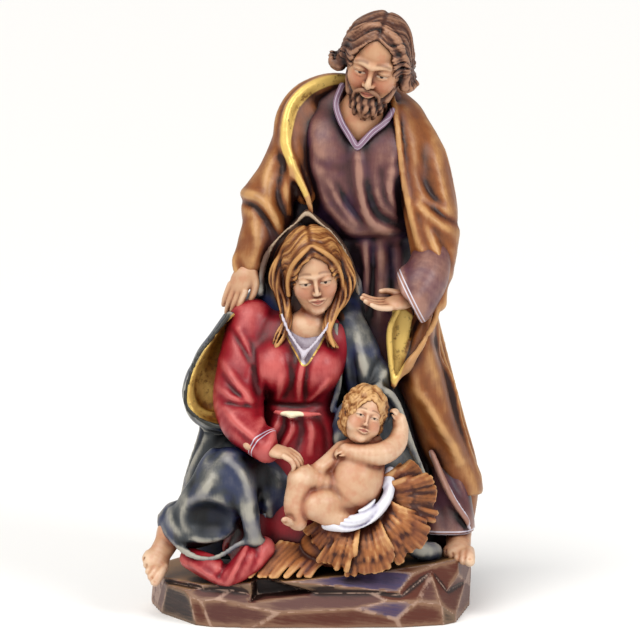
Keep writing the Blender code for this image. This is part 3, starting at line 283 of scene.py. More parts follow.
class Block(Form):
    """A convex block cut by planes. Each plane is a point on it and its outward direction."""

    def __init__(self, planes: Sequence[tuple[Row, Row]], low: Row, high: Row) -> None:
        """Sets the block.

        Args:
            planes: the planes that cut it.
            low: the lowest corner of a box that holds it.
            high: that box's highest corner.
        """
        self.planes = [(np.asarray(p, float), np.asarray(n, float) / np.linalg.norm(n)) for p, n in planes]
        self.low, self.high = np.asarray(low, float), np.asarray(high, float)

    def heights(self, p: np.ndarray) -> np.ndarray:
        """Each point's height over each plane."""
        return np.stack([(p - point) @ out for point, out in self.planes])

    def distance(self, p: np.ndarray) -> np.ndarray:
        """The height over the plane that bounds it."""
        return self.heights(p).max(0)


class Placed(Form):
    """A form made in its own frame, then scaled, turned and put in place."""

    def __init__(self, form: Form, place: Row, turn: Row | np.ndarray, scale: float) -> None:
        """Sets the form in place.

        Args:
            form: the form in its own frame.
            place: where its origin goes.
            turn: degrees about X, Y and Z, or a rotation matrix.
            scale: its size there.
        """
        self.form, self.place, self.scale = form, np.asarray(place, float), scale
        self.axes = np.asarray(turn, float) if np.ndim(turn) == 2 else turned(turn)
        box = corners(form.low, form.high) @ self.axes.T * scale + self.place
        self.low, self.high = box.min(0), box.max(0)

    def local(self, p: np.ndarray) -> np.ndarray:
        """The points in the form's own frame."""
        return (p - self.place) @ self.axes / self.scale

    def distance(self, p: np.ndarray) -> np.ndarray:
        """The form's distance, at its size here."""
        return self.form.distance(self.local(p)) * self.scale


class Combed(Form):
    """A cap of hair whose strands run over a head from the parting to the ears."""

    def __init__(self, form: Form, strands: float, depth: float, wave: float, parting: float = 0.0) -> None:
        """Sets the strands.

        Args:
            form: the plain cap, around a head of height 1.
            strands: how many there are in a radian.
            depth: how deep the grooves between them are.
            wave: how far they swing, in radians.
            parting: how far the parting lies from the middle.
        """
        self.form, self.strands, self.depth, self.wave, self.parting = form, strands, depth, wave, parting
        self.low, self.high = form.low, form.high

    def distance(self, p: np.ndarray) -> np.ndarray:
        """The cap's distance, lowered in the grooves."""
        x, y, z = p[:, 0] - self.parting, p[:, 1], p[:, 2] - 0.02
        turn, over = np.arctan2(y, z), np.arctan2(np.abs(x), np.hypot(y, z))
        swing = self.wave * np.sin(over * WAVE_OVER + turn * WAVE_TURN + np.sign(x))
        phase = (turn + swing) * self.strands
        lock = (1 - np.abs(np.sin(phase * 0.42 + 0.4))) ** 2
        coarse, fine = ((1 - np.abs(np.sin(angle))) ** 2 for angle in (phase, phase * 2.6 + 1.1))
        groove = coarse + 0.6 * fine + 1.2 * lock
        part = np.exp(-((x / 0.03) ** 2)) * step_up(z, 0.0, 0.2)
        return self.form.distance(p) + self.depth * (groove * (1 - 0.7 * part) + 1.4 * part - 0.8)


class Curled(Form):
    """A cap of hair in round curls, each a wound groove on a low swelling."""

    def __init__(self, form: Form, curls: int, swell: float, groove: float) -> None:
        """Sets the curls.

        Args:
            form: the plain cap, around a head of height 1.
            curls: how many there are all round.
            swell: how far each stands up.
            groove: how deep its winding is cut.
        """
        self.form, self.swell, self.groove, self.low, self.high = form, swell, groove, form.low, form.high
        i = np.arange(curls) + 0.5
        up, round_ = np.arccos(1 - 2 * i / curls), math.pi * (1 + 5**0.5) * i
        self.middles = np.stack([np.cos(round_) * np.sin(up), np.sin(round_) * np.sin(up), np.cos(up)], 1)
        self.reach = 2.1 / math.sqrt(curls)

    def distance(self, p: np.ndarray) -> np.ndarray:
        """The cap's distance, raised and wound."""
        out = p - (0, 0.07, 0.06)
        out = out / (np.linalg.norm(out, axis=1)[:, None] + 1e-9)
        near = (out @ self.middles.T).argmax(1)
        middle = self.middles[near]
        rel = out - middle
        across = np.cross(middle, (0.1, 0.2, 1.0))
        across /= np.linalg.norm(across, axis=1)[:, None]
        angle = np.arctan2((rel * np.cross(middle, across)).sum(1), (rel * across).sum(1))
        far = np.linalg.norm(rel, axis=1) / self.reach
        turns = far * 2.2 + angle / (2 * math.pi) * (-1.0) ** near + near * 0.37
        winding = np.abs(np.sin(math.pi * turns))
        return self.form.distance(p) - self.swell * (1 - far**2) + self.groove * (1 - winding) ** 1.5


class Side(Enum):
    """The elevation in which a fold is drawn: its two axes, the axis looked along, and its sign."""

    FRONT = (0, 2, 1, -1.0)
    BACK = (0, 2, 1, 1.0)
    LEFT = (1, 2, 0, -1.0)
    RIGHT = (1, 2, 0, 1.0)


@dataclass
class Fold:
    """A ridge or, with a height under 0, a groove, drawn as a short line in one elevation.

    Only what lies beyond middle, on the side that it is drawn from, is raised.
    """

    points: Rows
    width: float
    height: float
    side: Side
    middle: float
    path: np.ndarray = field(init=False)

    def __post_init__(self) -> None:
        """Works out the smooth path and how far along it each point is."""
        self.path = smooth_path(self.points, 5)
        self.low, self.high = self.path.min(0) - self.width * 2.2, self.path.max(0) + self.width * 2.2
        lengths = np.linalg.norm(np.diff(self.path, axis=0), axis=1)
        self.reached = np.concatenate([[0], np.cumsum(lengths)]) / lengths.sum()

    def lift(self, p: np.ndarray) -> np.ndarray:
        """How far the fold raises the surface.

        Args:
            p: the points asked about.

        Returns:
            The rise at each of them.
        """
        u, v, across, sign = self.side.value
        out = np.zeros(len(p))
        inside = np.all((p[:, (u, v)] >= self.low) & (p[:, (u, v)] <= self.high), axis=1)
        if not inside.any():
            return out
        q = p[inside][:, (u, v)]
        best, where = np.full(len(q), FAR), np.zeros(len(q))
        for i, (a, b) in enumerate(zip(self.path, self.path[1:])):
            along, rel = b - a, q - a
            t = np.clip(rel @ along / max(along @ along, 1e-9), 0, 1)
            gap = np.linalg.norm(rel - t[:, None] * along, axis=1)
            step = self.reached[i] + t * (self.reached[i + 1] - self.reached[i])
            where = np.where(gap < best, step, where)
            best = np.minimum(best, gap)
        shape = np.exp(-((best / self.width) ** 2) * 1.4)
        ends = np.sin(np.pi * np.clip(where * 0.84 + 0.08, 0, 1)) ** 0.6
        beyond = step_up(sign * (p[inside, across] - self.middle), -2.0, 6.0)
        out[inside] = self.height * shape * ends * beyond
        return out


class Carving(Form):
    """Forms joined and cut one after the other, then raised by folds."""

    def __init__(self, reach: float = 6.0) -> None:
        """Starts with nothing.

        Args:
            reach: how far beyond its box a form is still felt.
        """
        self.steps: list[tuple[str, Form, float]] = []
        self.lines: list[Fold] = []
        self.reach = reach
        self.low, self.high = np.full(3, FAR), np.full(3, -FAR)

    def add(self, form: Form, blend: float = 0.0) -> Carving:
        """Joins a form on, with a fillet."""
        self.steps.append(("add", form, blend))
        self.low, self.high = np.minimum(self.low, form.low), np.maximum(self.high, form.high)
        return self

    def cut(self, form: Form, blend: float = 0.0) -> Carving:
        """Cuts a form away, with a rounded lip."""
        self.steps.append(("cut", form, blend))
        return self

    def keep(self, form: Form, blend: float = 0.0) -> Carving:
        """Keeps only what lies inside a form."""
        self.steps.append(("keep", form, blend))
        return self

    def bar(self, *rows: Row, blend: float = 2.0) -> Carving:
        """Joins a round bar on."""
        return self.add(Limb(rows), blend)

    def groove(self, *rows: Row, blend: float = 2.0) -> Carving:
        """Cuts a round channel."""
        return self.cut(Limb(rows), blend)

    def folds(self, width: float, height: float, lines: Sequence[Rows], side: Side,
              middle: float) -> Carving:
        """Adds folds or grooves of one width and height.

        Args:
            width: how wide each is at half its height.
            height: how high, or if under 0 how deep.
            lines: the lines that they follow.
            side: the elevation that the lines are drawn in.
            middle: the depth beyond which they count.

        Returns:
            The carving itself.
        """
        self.lines += [Fold(points, width, height, side, middle) for points in lines]
        return self

    def drawn(self, table: Sequence[tuple[float, float, Rows]], side: Side, middle: float) -> Carving:
        """Adds folds that each have a width, a height and a line of their own."""
        for width, height, line in table:
            self.folds(width, height, [line], side, middle)
        return self

    def distance(self, p: np.ndarray) -> np.ndarray:
        """The distance to what the steps and folds leave."""
        low, high = p.min(0), p.max(0)
        d = np.full(len(p), FAR)
        for kind, form, blend in self.steps:
            if kind == "keep":
                d = blend_max(d, form.distance(p), blend)
            elif form.near(low, high, blend + self.reach):
                other = form.distance(p)
                d = blend_min(d, other, blend) if kind == "add" else blend_max(d, -other, blend)
        for line in self.lines:
            d -= line.lift(p)
        return d


def sampled(form: Form, step: float, low: np.ndarray, high: np.ndarray) -> np.ndarray:
    """Distances on a grid, worked out near the surface and plus or minus FAR elsewhere.

    Args:
        form: what to sample.
        step: the grid's spacing.
        low: the grid's first corner.
        high: the corner that it reaches.

    Returns:
        A three-dimensional array of distances.
    """
    side, cell = CELLS * CELL, CELL * step
    blocks = np.maximum(1, np.ceil((high - low) / (step * side)).astype(int))
    grid = np.full(blocks * side, FAR, np.float32)
    middles = np.indices((CELLS,) * 3).reshape(3, -1).T * cell + (cell - step) / 2
    inner = np.indices((CELL,) * 3).reshape(3, -1).T * step
    for block in np.ndindex(*blocks):
        corner = low + np.array(block) * side * step
        probe = form.distance(corner + middles)
        close = np.abs(probe) < cell * 1.1 + 1.0
        value = np.repeat(np.where(probe > 0, FAR, -FAR)[:, None], CELL**3, axis=1)
        if close.any():
            near = (corner + middles[close] - (cell - step) / 2)[:, None, :] + inner[None]
            value[close] = form.distance(near.reshape(-1, 3)).reshape(-1, CELL**3)
        value = value.reshape((CELLS,) * 3 + (CELL,) * 3).transpose(0, 3, 1, 4, 2, 5).reshape((side,) * 3)
        i, j, k = (n * side for n in block)
        grid[i : i + side, j : j + side, k : k + side] = value
    return grid


@dataclass
class Surroundings:
    """The whole group's distances on a coarse grid, to tell hollows from open ground."""

    form: Form
    step: float = 2.0
    reach: float = 9.0
    low: np.ndarray = field(init=False)
    values: np.ndarray = field(init=False)

    def __post_init__(self) -> None:
        """Fills the grid."""
        margin = self.reach + 2 * self.step
        self.low = self.form.low - margin
        self.values = np.clip(sampled(self.form, self.step, self.low, self.form.high + margin),
                              -self.reach, self.reach)

    def at(self, p: np.ndarray) -> np.ndarray:
        """The distances at some points, read between the grid's own."""
        q = np.clip((p - self.low) / self.step, 0, np.array(self.values.shape) - 1.001)
        i = q.astype(int)
        t = q - i
        total = np.zeros(len(p))
        for a, b, c in np.ndindex(2, 2, 2):
            share = np.prod(np.where([a, b, c], t, 1 - t), axis=1)
            total += share * self.values[i[:, 0] + a, i[:, 1] + b, i[:, 2] + c]
        return total

    def hollow(self, p: np.ndarray, normals: np.ndarray) -> np.ndarray:
        """How shut in each point of a surface is.

        Args:
            p: points on the surface.
            normals: the outward directions there.

        Returns:
            0 in the open, towards 1 in a deep hollow.
        """
        shut = np.zeros(len(p))
        for far, weight in ((1.6, 0.25), (3.2, 0.3), (5.5, 0.25), (8.5, 0.2)):
            shut += weight * np.clip(1 - self.at(p + normals * far) / far, 0, 1.4)
        return np.clip(shut, 0, 1)


@dataclass
class Skin:
    """A cut surface, in millimetres: its points, its four-sided faces and what paint needs to know."""

    points: np.ndarray
    faces: np.ndarray
    normals: np.ndarray = field(init=False)

    def __post_init__(self) -> None:
        """Works out the outward directions."""
        a, b, c, d = (self.points[self.faces[:, i]] for i in range(4))
        flat = np.cross(c - a, d - b)
        users, count = self.faces.ravel(), len(self.points)
        self.normals = np.stack([np.bincount(users, np.repeat(axis, 4), count) for axis in flat.T], 1)
        self.normals /= np.linalg.norm(self.normals, axis=1)[:, None] + 1e-12

    @classmethod
    def of(cls, form: Form, step: float) -> Skin:
        """Cuts a form's surface.

        Args:
            form: the form.
            step: how finely.

        Returns:
            Its skin.
        """
        low, high = form.low - 3 * step - 2, form.high + 3 * step + 2
        values = np.clip(sampled(form, step, low, high), -3 * step, 3 * step).astype(np.float32)
        grid = openvdb.FloatGrid(3 * step)
        grid.copyFromArray(values)
        points, _, quads = grid.convertToPolygons(isovalue=0.0, adaptivity=0.0)
        return cls(np.asarray(points, float) * step + low, np.asarray(quads, int))

    def spread(self, values: np.ndarray, rounds: int) -> np.ndarray:
        """Evens values out over neighbouring points.

        Args:
            values: one row for each point.
            rounds: how often.

        Returns:
            The evened values.
        """
        pairs = np.concatenate([self.faces[:, (i, (i + 1) % 4)] for i in range(4)])
        start, end = pairs.T
        count = len(values)
        many = np.bincount(start, minlength=count) + np.bincount(end, minlength=count) + 1.0
        out = values.reshape(count, -1).copy()
        for _ in range(rounds):
            for i in range(out.shape[1]):
                column = out[:, i]
                gathered = np.bincount(start, column[end], count) + np.bincount(end, column[start], count)
                out[:, i] = (gathered + column) / many
        return out.reshape(values.shape)

    def ridge(self, rounds: int) -> np.ndarray:
        """How far each point stands out from its neighbourhood, in millimetres."""
        return ((self.points - self.spread(self.points, rounds)) * self.normals).sum(1)


class Grown(Form):
    """A form made larger all round, to mark the walls of a hollow that it cut."""

    def __init__(self, form: Form, by: float) -> None:
        """Sets the form and how much it grows."""
        self.form, self.by = form, by
        self.low, self.high = form.low - by, form.high + by

    def distance(self, p: np.ndarray) -> np.ndarray:
        """The form's distance, less the growth."""
        return self.form.distance(p) - self.by


class Ring(Form):
    """Lines round a wrist or an ankle: how far along the limb each point lies from a plane across it."""

    def __init__(self, centre: Row, along: Row, reach: float) -> None:
        """Sets the ring.

        Args:
            centre: a point on the plane.
            along: the limb's direction.
            reach: how far from the centre the lines may run.
        """
        self.centre, self.reach = np.asarray(centre, float), reach
        self.along = np.asarray(along, float) / np.linalg.norm(along)
        self.low, self.high = self.centre - reach, self.centre + reach

    def distance(self, p: np.ndarray) -> np.ndarray:
        """The height over the plane, or FAR beyond its reach."""
        rel = p - self.centre
        return np.where(np.linalg.norm(rel, axis=1) < self.reach, rel @ self.along, FAR)


class Patch(Form):
    """A closed outline drawn in the front elevation, less than 0 inside it."""

    def __init__(self, points: Rows, front: float, rounded: int = 6) -> None:
        """Sets the outline.

        Args:
            points: its x and z, in order round it.
            front: the depth beyond which it isn't painted.
            rounded: steps between two of the points.
        """
        ring = smooth_path([*points, points[0]], rounded)
        self.path, self.front = ring, front
        self.low = np.array([ring[:, 0].min(), -FAR, ring[:, 1].min()])
        self.high = np.array([ring[:, 0].max(), front, ring[:, 1].max()])

    def distance(self, p: np.ndarray) -> np.ndarray:
        """The distance to the outline."""
        q, best, inside = p[:, (0, 2)], np.full(len(p), FAR), np.zeros(len(p), bool)
        for a, b in zip(self.path, self.path[1:]):
            along, rel = b - a, q - a
            t = np.clip(rel @ along / max(along @ along, 1e-9), 0, 1)
            np.minimum(best, np.linalg.norm(rel - t[:, None] * along, axis=1), out=best)
            crosses = (a[1] > q[:, 1]) != (b[1] > q[:, 1])
            inside ^= crosses & (rel[:, 0] < along[0] * rel[:, 1] / (along[1] if along[1] else 1e-9))
        signed = np.where(inside, -best, best)
        return np.where(p[:, 1] < self.front, signed, FAR)


class Shade:
    """A value in a shader. Sums on it add Math nodes."""

    def __init__(self, sheet: Sheet, socket: bpy.types.NodeSocket) -> None:
        """Keeps the socket and the sheet that it is on."""
        self.sheet, self.socket = sheet, socket

    def __add__(self, other: Shade | float) -> Shade:
        """The sum."""
        return self.sheet.math("ADD", self, other)

    __radd__ = __add__

    def __sub__(self, other: Shade | float) -> Shade:
        """What is left."""
        return self.sheet.math("SUBTRACT", self, other)

    def __rsub__(self, other: float) -> Shade:
        """A number less this."""
        return self.sheet.math("SUBTRACT", other, self)

    def __mul__(self, other: Shade | float) -> Shade:
        """The product."""
        return self.sheet.math("MULTIPLY", self, other)

    __rmul__ = __mul__

    def __truediv__(self, other: Shade | float) -> Shade:
        """The quotient."""
        return self.sheet.math("DIVIDE", self, other)

    def __pow__(self, other: float) -> Shade:
        """The power."""
        return self.sheet.math("POWER", self, other)

    def __abs__(self) -> Shade:
        """The size without the sign."""
        return self.sheet.math("ABSOLUTE", self)

    def clipped(self) -> Shade:
        """The value held between 0 and 1."""
        return self.sheet.math("ADD", self, 0.0, clamp=True)

    def above(self, edge: float, soft: float) -> Shade:
        """1 above an edge and 0 below it, with a soft step."""
        return self.sheet.band(self, edge - soft, edge + soft)

    def below(self, edge: float, soft: float) -> Shade:
        """1 below an edge and 0 above it, with a soft step."""
        return self.sheet.band(self, edge + soft, edge - soft)


class Sheet:
    """A material and its nodes."""

    def __init__(self, name: str) -> None:
        """Starts an empty material."""
        self.material = bpy.data.materials.new(name)
        self.material.use_nodes = True
        self.tree = self.material.node_tree
        self.tree.nodes.clear()

    def node(self, kind: str, settings: dict[str, object],
             values: dict[int | str, object]) -> bpy.types.Node:
        """Adds a node.

        Args:
            kind: its type.
            settings: its own settings, which come first.
            values: for each input, a value or something to link.

        Returns:
            The node.
        """
        node = self.tree.nodes.new(kind)
        for name, value in settings.items():
            setattr(node, name, value)
        for key, value in values.items():
            if isinstance(value, Shade):
                self.tree.links.new(value.socket, node.inputs[key])
            elif isinstance(value, tuple) and node.inputs[key].type == "RGBA":
                node.inputs[key].default_value = (*value, 1.0)
            else:
                node.inputs[key].default_value = value
        return node

    def math(self, operation: str, *terms: Shade | float, clamp: bool = False) -> Shade:
        """A Math node's result."""
        node = self.node("ShaderNodeMath", {"operation": operation, "use_clamp": clamp},
                         dict(enumerate(terms)))
        return Shade(self, node.outputs[0])

    def band(self, value: Shade, start: float, end: float) -> Shade:
        """A smooth step from 0 at start to 1 at end."""
        low, high, first, last = (start, end, 0.0, 1.0) if start < end else (end, start, 1.0, 0.0)
        settings = {"interpolation_type": "SMOOTHSTEP"}
        values = {"Value": value, "From Min": low, "From Max": high, "To Min": first, "To Max": last}
        return Shade(self, self.node("ShaderNodeMapRange", settings, values).outputs["Result"])

    def mix(self, share: Shade, first: Shade | Colour, second: Shade | Colour, how: str = "MIX") -> Shade:
        """A colour between two others."""
        node = self.node("ShaderNodeMix", {"data_type": "RGBA", "blend_type": how},
                         {0: share, 6: first, 7: second})
        return Shade(self, node.outputs[2])

    def attribute(self, name: str) -> Shade:
        """A number kept on the mesh."""
        return Shade(self, self.node("ShaderNodeAttribute", {"attribute_name": name}, {}).outputs["Fac"])

    def vector(self, name: str) -> Shade:
        """A vector kept on the mesh."""
        return Shade(self, self.node("ShaderNodeAttribute", {"attribute_name": name}, {}).outputs["Vector"])

    def parts(self, vector: Shade) -> tuple[Shade, Shade, Shade]:
        """The three numbers of a vector."""
        outputs = self.node("ShaderNodeSeparateXYZ", {}, {0: vector}).outputs
        return Shade(self, outputs[0]), Shade(self, outputs[1]), Shade(self, outputs[2])

    def noise(self, size: float, detail: float = 3.0, across: Shade | None = None) -> Shade:
        """Cloudy noise.

        Args:
            size: how wide its clouds are, in millimetres, or in the vector's own units.
            detail: how many finer layers it has.
            across: a vector to run it over, in place of the object's coordinates.

        Returns:
            Values round 0.5.
        """
        where, scale = across, 1.0 / size
        if across is None:
            where = Shade(self, self.node("ShaderNodeTexCoord", {}, {}).outputs["Object"])
            scale /= MILLIMETRE
        values = {"Vector": where, "Scale": scale, "Detail": detail, "Roughness": 0.6}
        return Shade(self, self.node("ShaderNodeTexNoise", {}, values).outputs[0])

    def bump(self, height: Shade, depth: float, strength: float) -> Shade:
        """A bumped normal, with its depth in millimetres."""
        values = {"Strength": strength, "Distance": depth * MILLIMETRE, "Height": height}
        return Shade(self, self.node("ShaderNodeBump", {}, values).outputs[0])

    def finish(self, **values: object) -> bpy.types.Material:
        """Closes the material with its shader.

        Args:
            **values: the shader's inputs, with _ for a space.

        Returns:
            The material.
        """
        inputs = {name.replace("_", " "): value for name, value in values.items()}
        shader = self.node("ShaderNodeBsdfPrincipled", {}, inputs)
        self.node("ShaderNodeOutputMaterial", {}, {0: Shade(self, shader.outputs[0])})
        return self.material


@dataclass(frozen=True)
class Trim:
    """A second colour, painted where an area's distance lies between two limits, in a shadow and a light
    tone as painted shade and painted highlight.
    """

    area: str
    low: float
    high: float
    shadow: Colour
    light: Colour
    gilt: float = 0.0
    soft: float = 0.25


GOLD_SHADOW, GOLD_LIGHT, BOLE = paint(138, 90, 34, 0.8), paint(238, 200, 112, 0.8), paint(96, 54, 18)
LILAC_WHITE, LILAC_SHADE = paint(226, 220, 232), paint(150, 132, 160)
# tone ranges over which gold and other trims go from their shadow colour (painted shade) to their light one
# (painted highlight)
GILT_TONES, TRIM_TONES = (-0.45, 0.5), (0.0, 0.75)


def gilding(area: str, high: float = 0.0) -> Trim:
    """Gold leaf inside an area."""
    return Trim(area, -FAR, high, GOLD_SHADOW, GOLD_LIGHT, 0.3, 0.5)


def lines(area: str, *starts: float, width: float = 0.5) -> tuple[Trim, ...]:
    """Thin pale painted lines at several distances."""
    return tuple(Trim(area, s, s + width, LILAC_SHADE, LILAC_WHITE, 0.0, 0.16) for s in starts)


@dataclass(frozen=True)
class Finish:
    """Oil glaze on carved wood, with painted shade in the hollows, painted highlights on the ridges, and
    the grain in it.
    """

    name: str
    shadow: Colour
    mid: Colour
    light: Colour
    accent: Colour
    accent_share: float = 0.3
    tone_at: float = 0.50
    # depth: how much painted shade the hollows get
    depth: float = 0.95
    # how much painted highlight the ridges and broad swellings get
    ridge_highlight: float = 0.50
    streak: float = 0.10
    cloud: float = 0.24
    roughness: float = 0.42
    coat: float = 0.05
    grain_depth: float = 0.10
    trims: tuple[Trim, ...] = ()

    def tone(self, sheet: Sheet) -> Shade:
        """How light each place is painted, from 0 for painted shade in a hollow to 1 for a painted
        highlight on a ridge.
        """
        hollow, ridge, swell = (sheet.attribute(name) for name in ("hollow", "ridge", "swell"))
        streaks = sheet.noise(1.0, 3.0, sheet.vector("comb")) - 0.5
        clouds = sheet.noise(9.0, 4.0) - 0.5
        # painted highlights on the ridges and the broad swellings
        raised = ridge * self.ridge_highlight * 0.8 + swell * self.ridge_highlight
        tone = self.tone_at + raised + streaks * self.streak * 2
        # painted shade, deeper the more shut in a place is; the streaks and clouds are random tone
        return tone + clouds * self.cloud * 2 - hollow * self.depth

    def body(self, sheet: Sheet, tone: Shade) -> Shade:
        """The glazed colour: the shadow colour as painted shade, the mid colour, and the light colour as
        painted highlight, with patches of the accent.
        """
        low = sheet.mix(tone.clipped() * 2, self.shadow, self.mid)
        glazed = sheet.mix(sheet.band(tone, 0.46, 1.05), low, self.light)
        patches = sheet.noise(16.0, 2.0).above(0.56, 0.10) * self.accent_share
        return sheet.mix(patches, glazed, self.accent)

    def trimmed(self, sheet: Sheet, tone: Shade, colour: Shade) -> tuple[Shade, Shade | float]:
        """Paints the trims over the body colour.

        Args:
            sheet: the material.
            tone: how light each place is.
            colour: the colour below.

        Returns:
            The colour, and how far it is metal.
        """
        metal: Shade | float = 0.0
        for trim in self.trims:
            area = sheet.attribute(trim.area)
            mask = area.below(trim.high, trim.soft)
            if trim.low > -FAR:
                mask = mask * area.above(trim.low, trim.soft)
            start, end = GILT_TONES if trim.gilt else TRIM_TONES
            # the trim's shadow colour as painted shade, its light colour as painted highlight
            over = sheet.mix(sheet.band(tone, start, end), trim.shadow, trim.light)
            if trim.gilt:
                worn = (sheet.noise(3.4, 5.0) + tone * 0.10).below(0.43, 0.07)
                over = sheet.mix(worn * 0.75, over, BOLE)
                metal = metal + mask * (1 - worn * 0.8) * trim.gilt
            colour = sheet.mix(mask, colour, over)
        return colour, metal

    def material(self) -> bpy.types.Material:
        """Builds the material."""
        sheet = Sheet(self.name)
        tone = self.tone(sheet)
        colour, metal = self.trimmed(sheet, tone, self.body(sheet, tone))
        fine, grain = sheet.noise(0.55, 3.0), sheet.noise(0.5, 2.0, sheet.vector("comb"))
        pores = (sheet.noise(0.9, 4.0) - 0.5) * 0.12
        return sheet.finish(
            Base_Color=colour, Metallic=metal, Roughness=self.roughness + pores - tone * 0.06,
            Coat_Weight=self.coat, Coat_Roughness=0.28, Specular_IOR_Level=0.28,
            Normal=sheet.bump(grain * 0.7 + fine * 0.5, self.grain_depth, 0.5))


@dataclass(frozen=True)
class SkinPaint(Finish):
    """Flesh colour, with a warm blush where the skin lies thin."""

    blush: Colour = paint(196, 112, 84)

    def body(self, sheet: Sheet, tone: Shade) -> Shade:
        """The flesh colour with its blush."""
        glazed = Finish.body(self, sheet, tone)
        warm = sheet.noise(5.0, 2.0).above(0.55, 0.12) * 0.3
        return sheet.mix(warm, glazed, self.blush)


@dataclass(frozen=True)
class FacePaint(SkinPaint):
    """A face: flesh, blushed cheeks, lips, brows and calm eyes, placed in the head's own frame."""

    open_to: float = 0.004
    iris: Colour = paint(58, 34, 20)
    white: Colour = paint(196, 166, 142)
    line: Colour = paint(58, 30, 20)
    brow: Colour = paint(84, 48, 30)
    lip: Colour = paint(168, 84, 70)
    pupil: Colour = paint(14, 9, 8)
    cheek: Row = (0.17, -0.15, 0.10)
    brow_at: float = 0.118
    mouth_at: float = -0.256
    eye_x: float = 0.125
    eye_wide: float = 0.062
    eye_high: float = 0.013
    iris_size: float = 0.021
    pupil_size: float = 0.009

    def body(self, sheet: Sheet, tone: Shade) -> Shade:
        """The painted face."""
        colour = SkinPaint.body(self, sheet, tone)
        x, y, z = sheet.parts(sheet.vector("local"))
        side, front = abs(x), y.below(-0.18, 0.04)
        across, up, size = self.cheek
        round_cheek = ((side - across) / size) ** 2.0 + ((z - up) / size) ** 2.0
        colour = sheet.mix(round_cheek.below(1.0, 0.9) * front * 0.5, colour, self.blush)
        arch = z - self.brow_at + abs(side - 0.09) ** 2.0 * 2.4
        brow = abs(arch).below(0.014, 0.012) * side.above(0.045, 0.015) * side.below(0.215, 0.02) * front
        colour = sheet.mix(brow * 0.5, colour, self.brow)
        lips = (side * 0.34 + abs(z - self.mouth_at)).below(0.034, 0.006) * front * y.below(-0.31, 0.01)
        colour = sheet.mix(lips * 0.8, colour, self.lip)
        slit = abs(z - self.mouth_at + side * 0.04).below(0.004, 0.004) * side.below(0.085, 0.01) * front
        colour = sheet.mix(slit * 0.8, colour, self.line)
        ex, ez = side - self.eye_x, z + 0.034 - self.open_to
        almond = (ex / self.eye_wide) ** 2.0 + (ez / self.eye_high) ** 2.0
        eye = almond.below(1.0, 0.12) * front
        colour = sheet.mix(eye, colour, self.white)
        disc = (ex**2.0 + (ez - 0.006) ** 2.0) ** 0.5
        colour = sheet.mix(eye * disc.below(self.iris_size, 0.004), colour, self.iris)
        colour = sheet.mix(eye * disc.below(self.pupil_size, 0.003), colour, self.pupil)
        lash = abs(almond - 1.15).below(0.30, 0.15) * ez.above(0.002, 0.006) * front
        return sheet.mix(lash * 0.6, colour, self.line)


@dataclass(frozen=True)
class StonePaint(Finish):
    """Rock in broad cut faces, each with a colour of its own (near-black painted shade on those turned
    down) and pale worn edges.
    """

    # near-black for the faces turned down and in the recess under the front edge: painted shade
    deep: Colour = paint(36, 20, 16)
    russet: Colour = paint(96, 48, 34)
    plum: Colour = paint(92, 54, 48)
    slate: Colour = paint(72, 62, 96)
    olive: Colour = paint(140, 102, 62)
    worn: Colour = paint(206, 172, 152)

    def body(self, sheet: Sheet, tone: Shade) -> Shade:
        """The colour of each face, painted shade and painted highlights from the tone, and the worn edges.
        """
        face = sheet.attribute("facet")
        # colour number 0 is painted shade, on the faces turned down and in the recess under the front edge
        colour = sheet.mix(face.above(0.125, 0.01), self.deep, self.russet)
        for edge, after in ((0.375, self.plum), (0.625, self.slate), (0.875, self.olive)):
            colour = sheet.mix(face.above(edge, 0.01), colour, after)
        bands = sheet.noise(1.0, 4.0, sheet.vector("comb"))
        colour = sheet.mix(bands.above(0.55, 0.25) * 0.35, colour, self.accent)
        # painted highlight where the tone is high, painted shade where it is low
        colour = sheet.mix(sheet.band(tone, 0.52, 0.98) * 0.35, colour, self.light)
        colour = sheet.mix(sheet.band(tone, 0.40, 0.0) * 0.85, colour, self.shadow)
        edges = sheet.attribute("edge").below(0.26, 0.16) * sheet.noise(5.0, 3.0).above(0.46, 0.06)
        return sheet.mix(edges * 0.5, colour, self.worn)


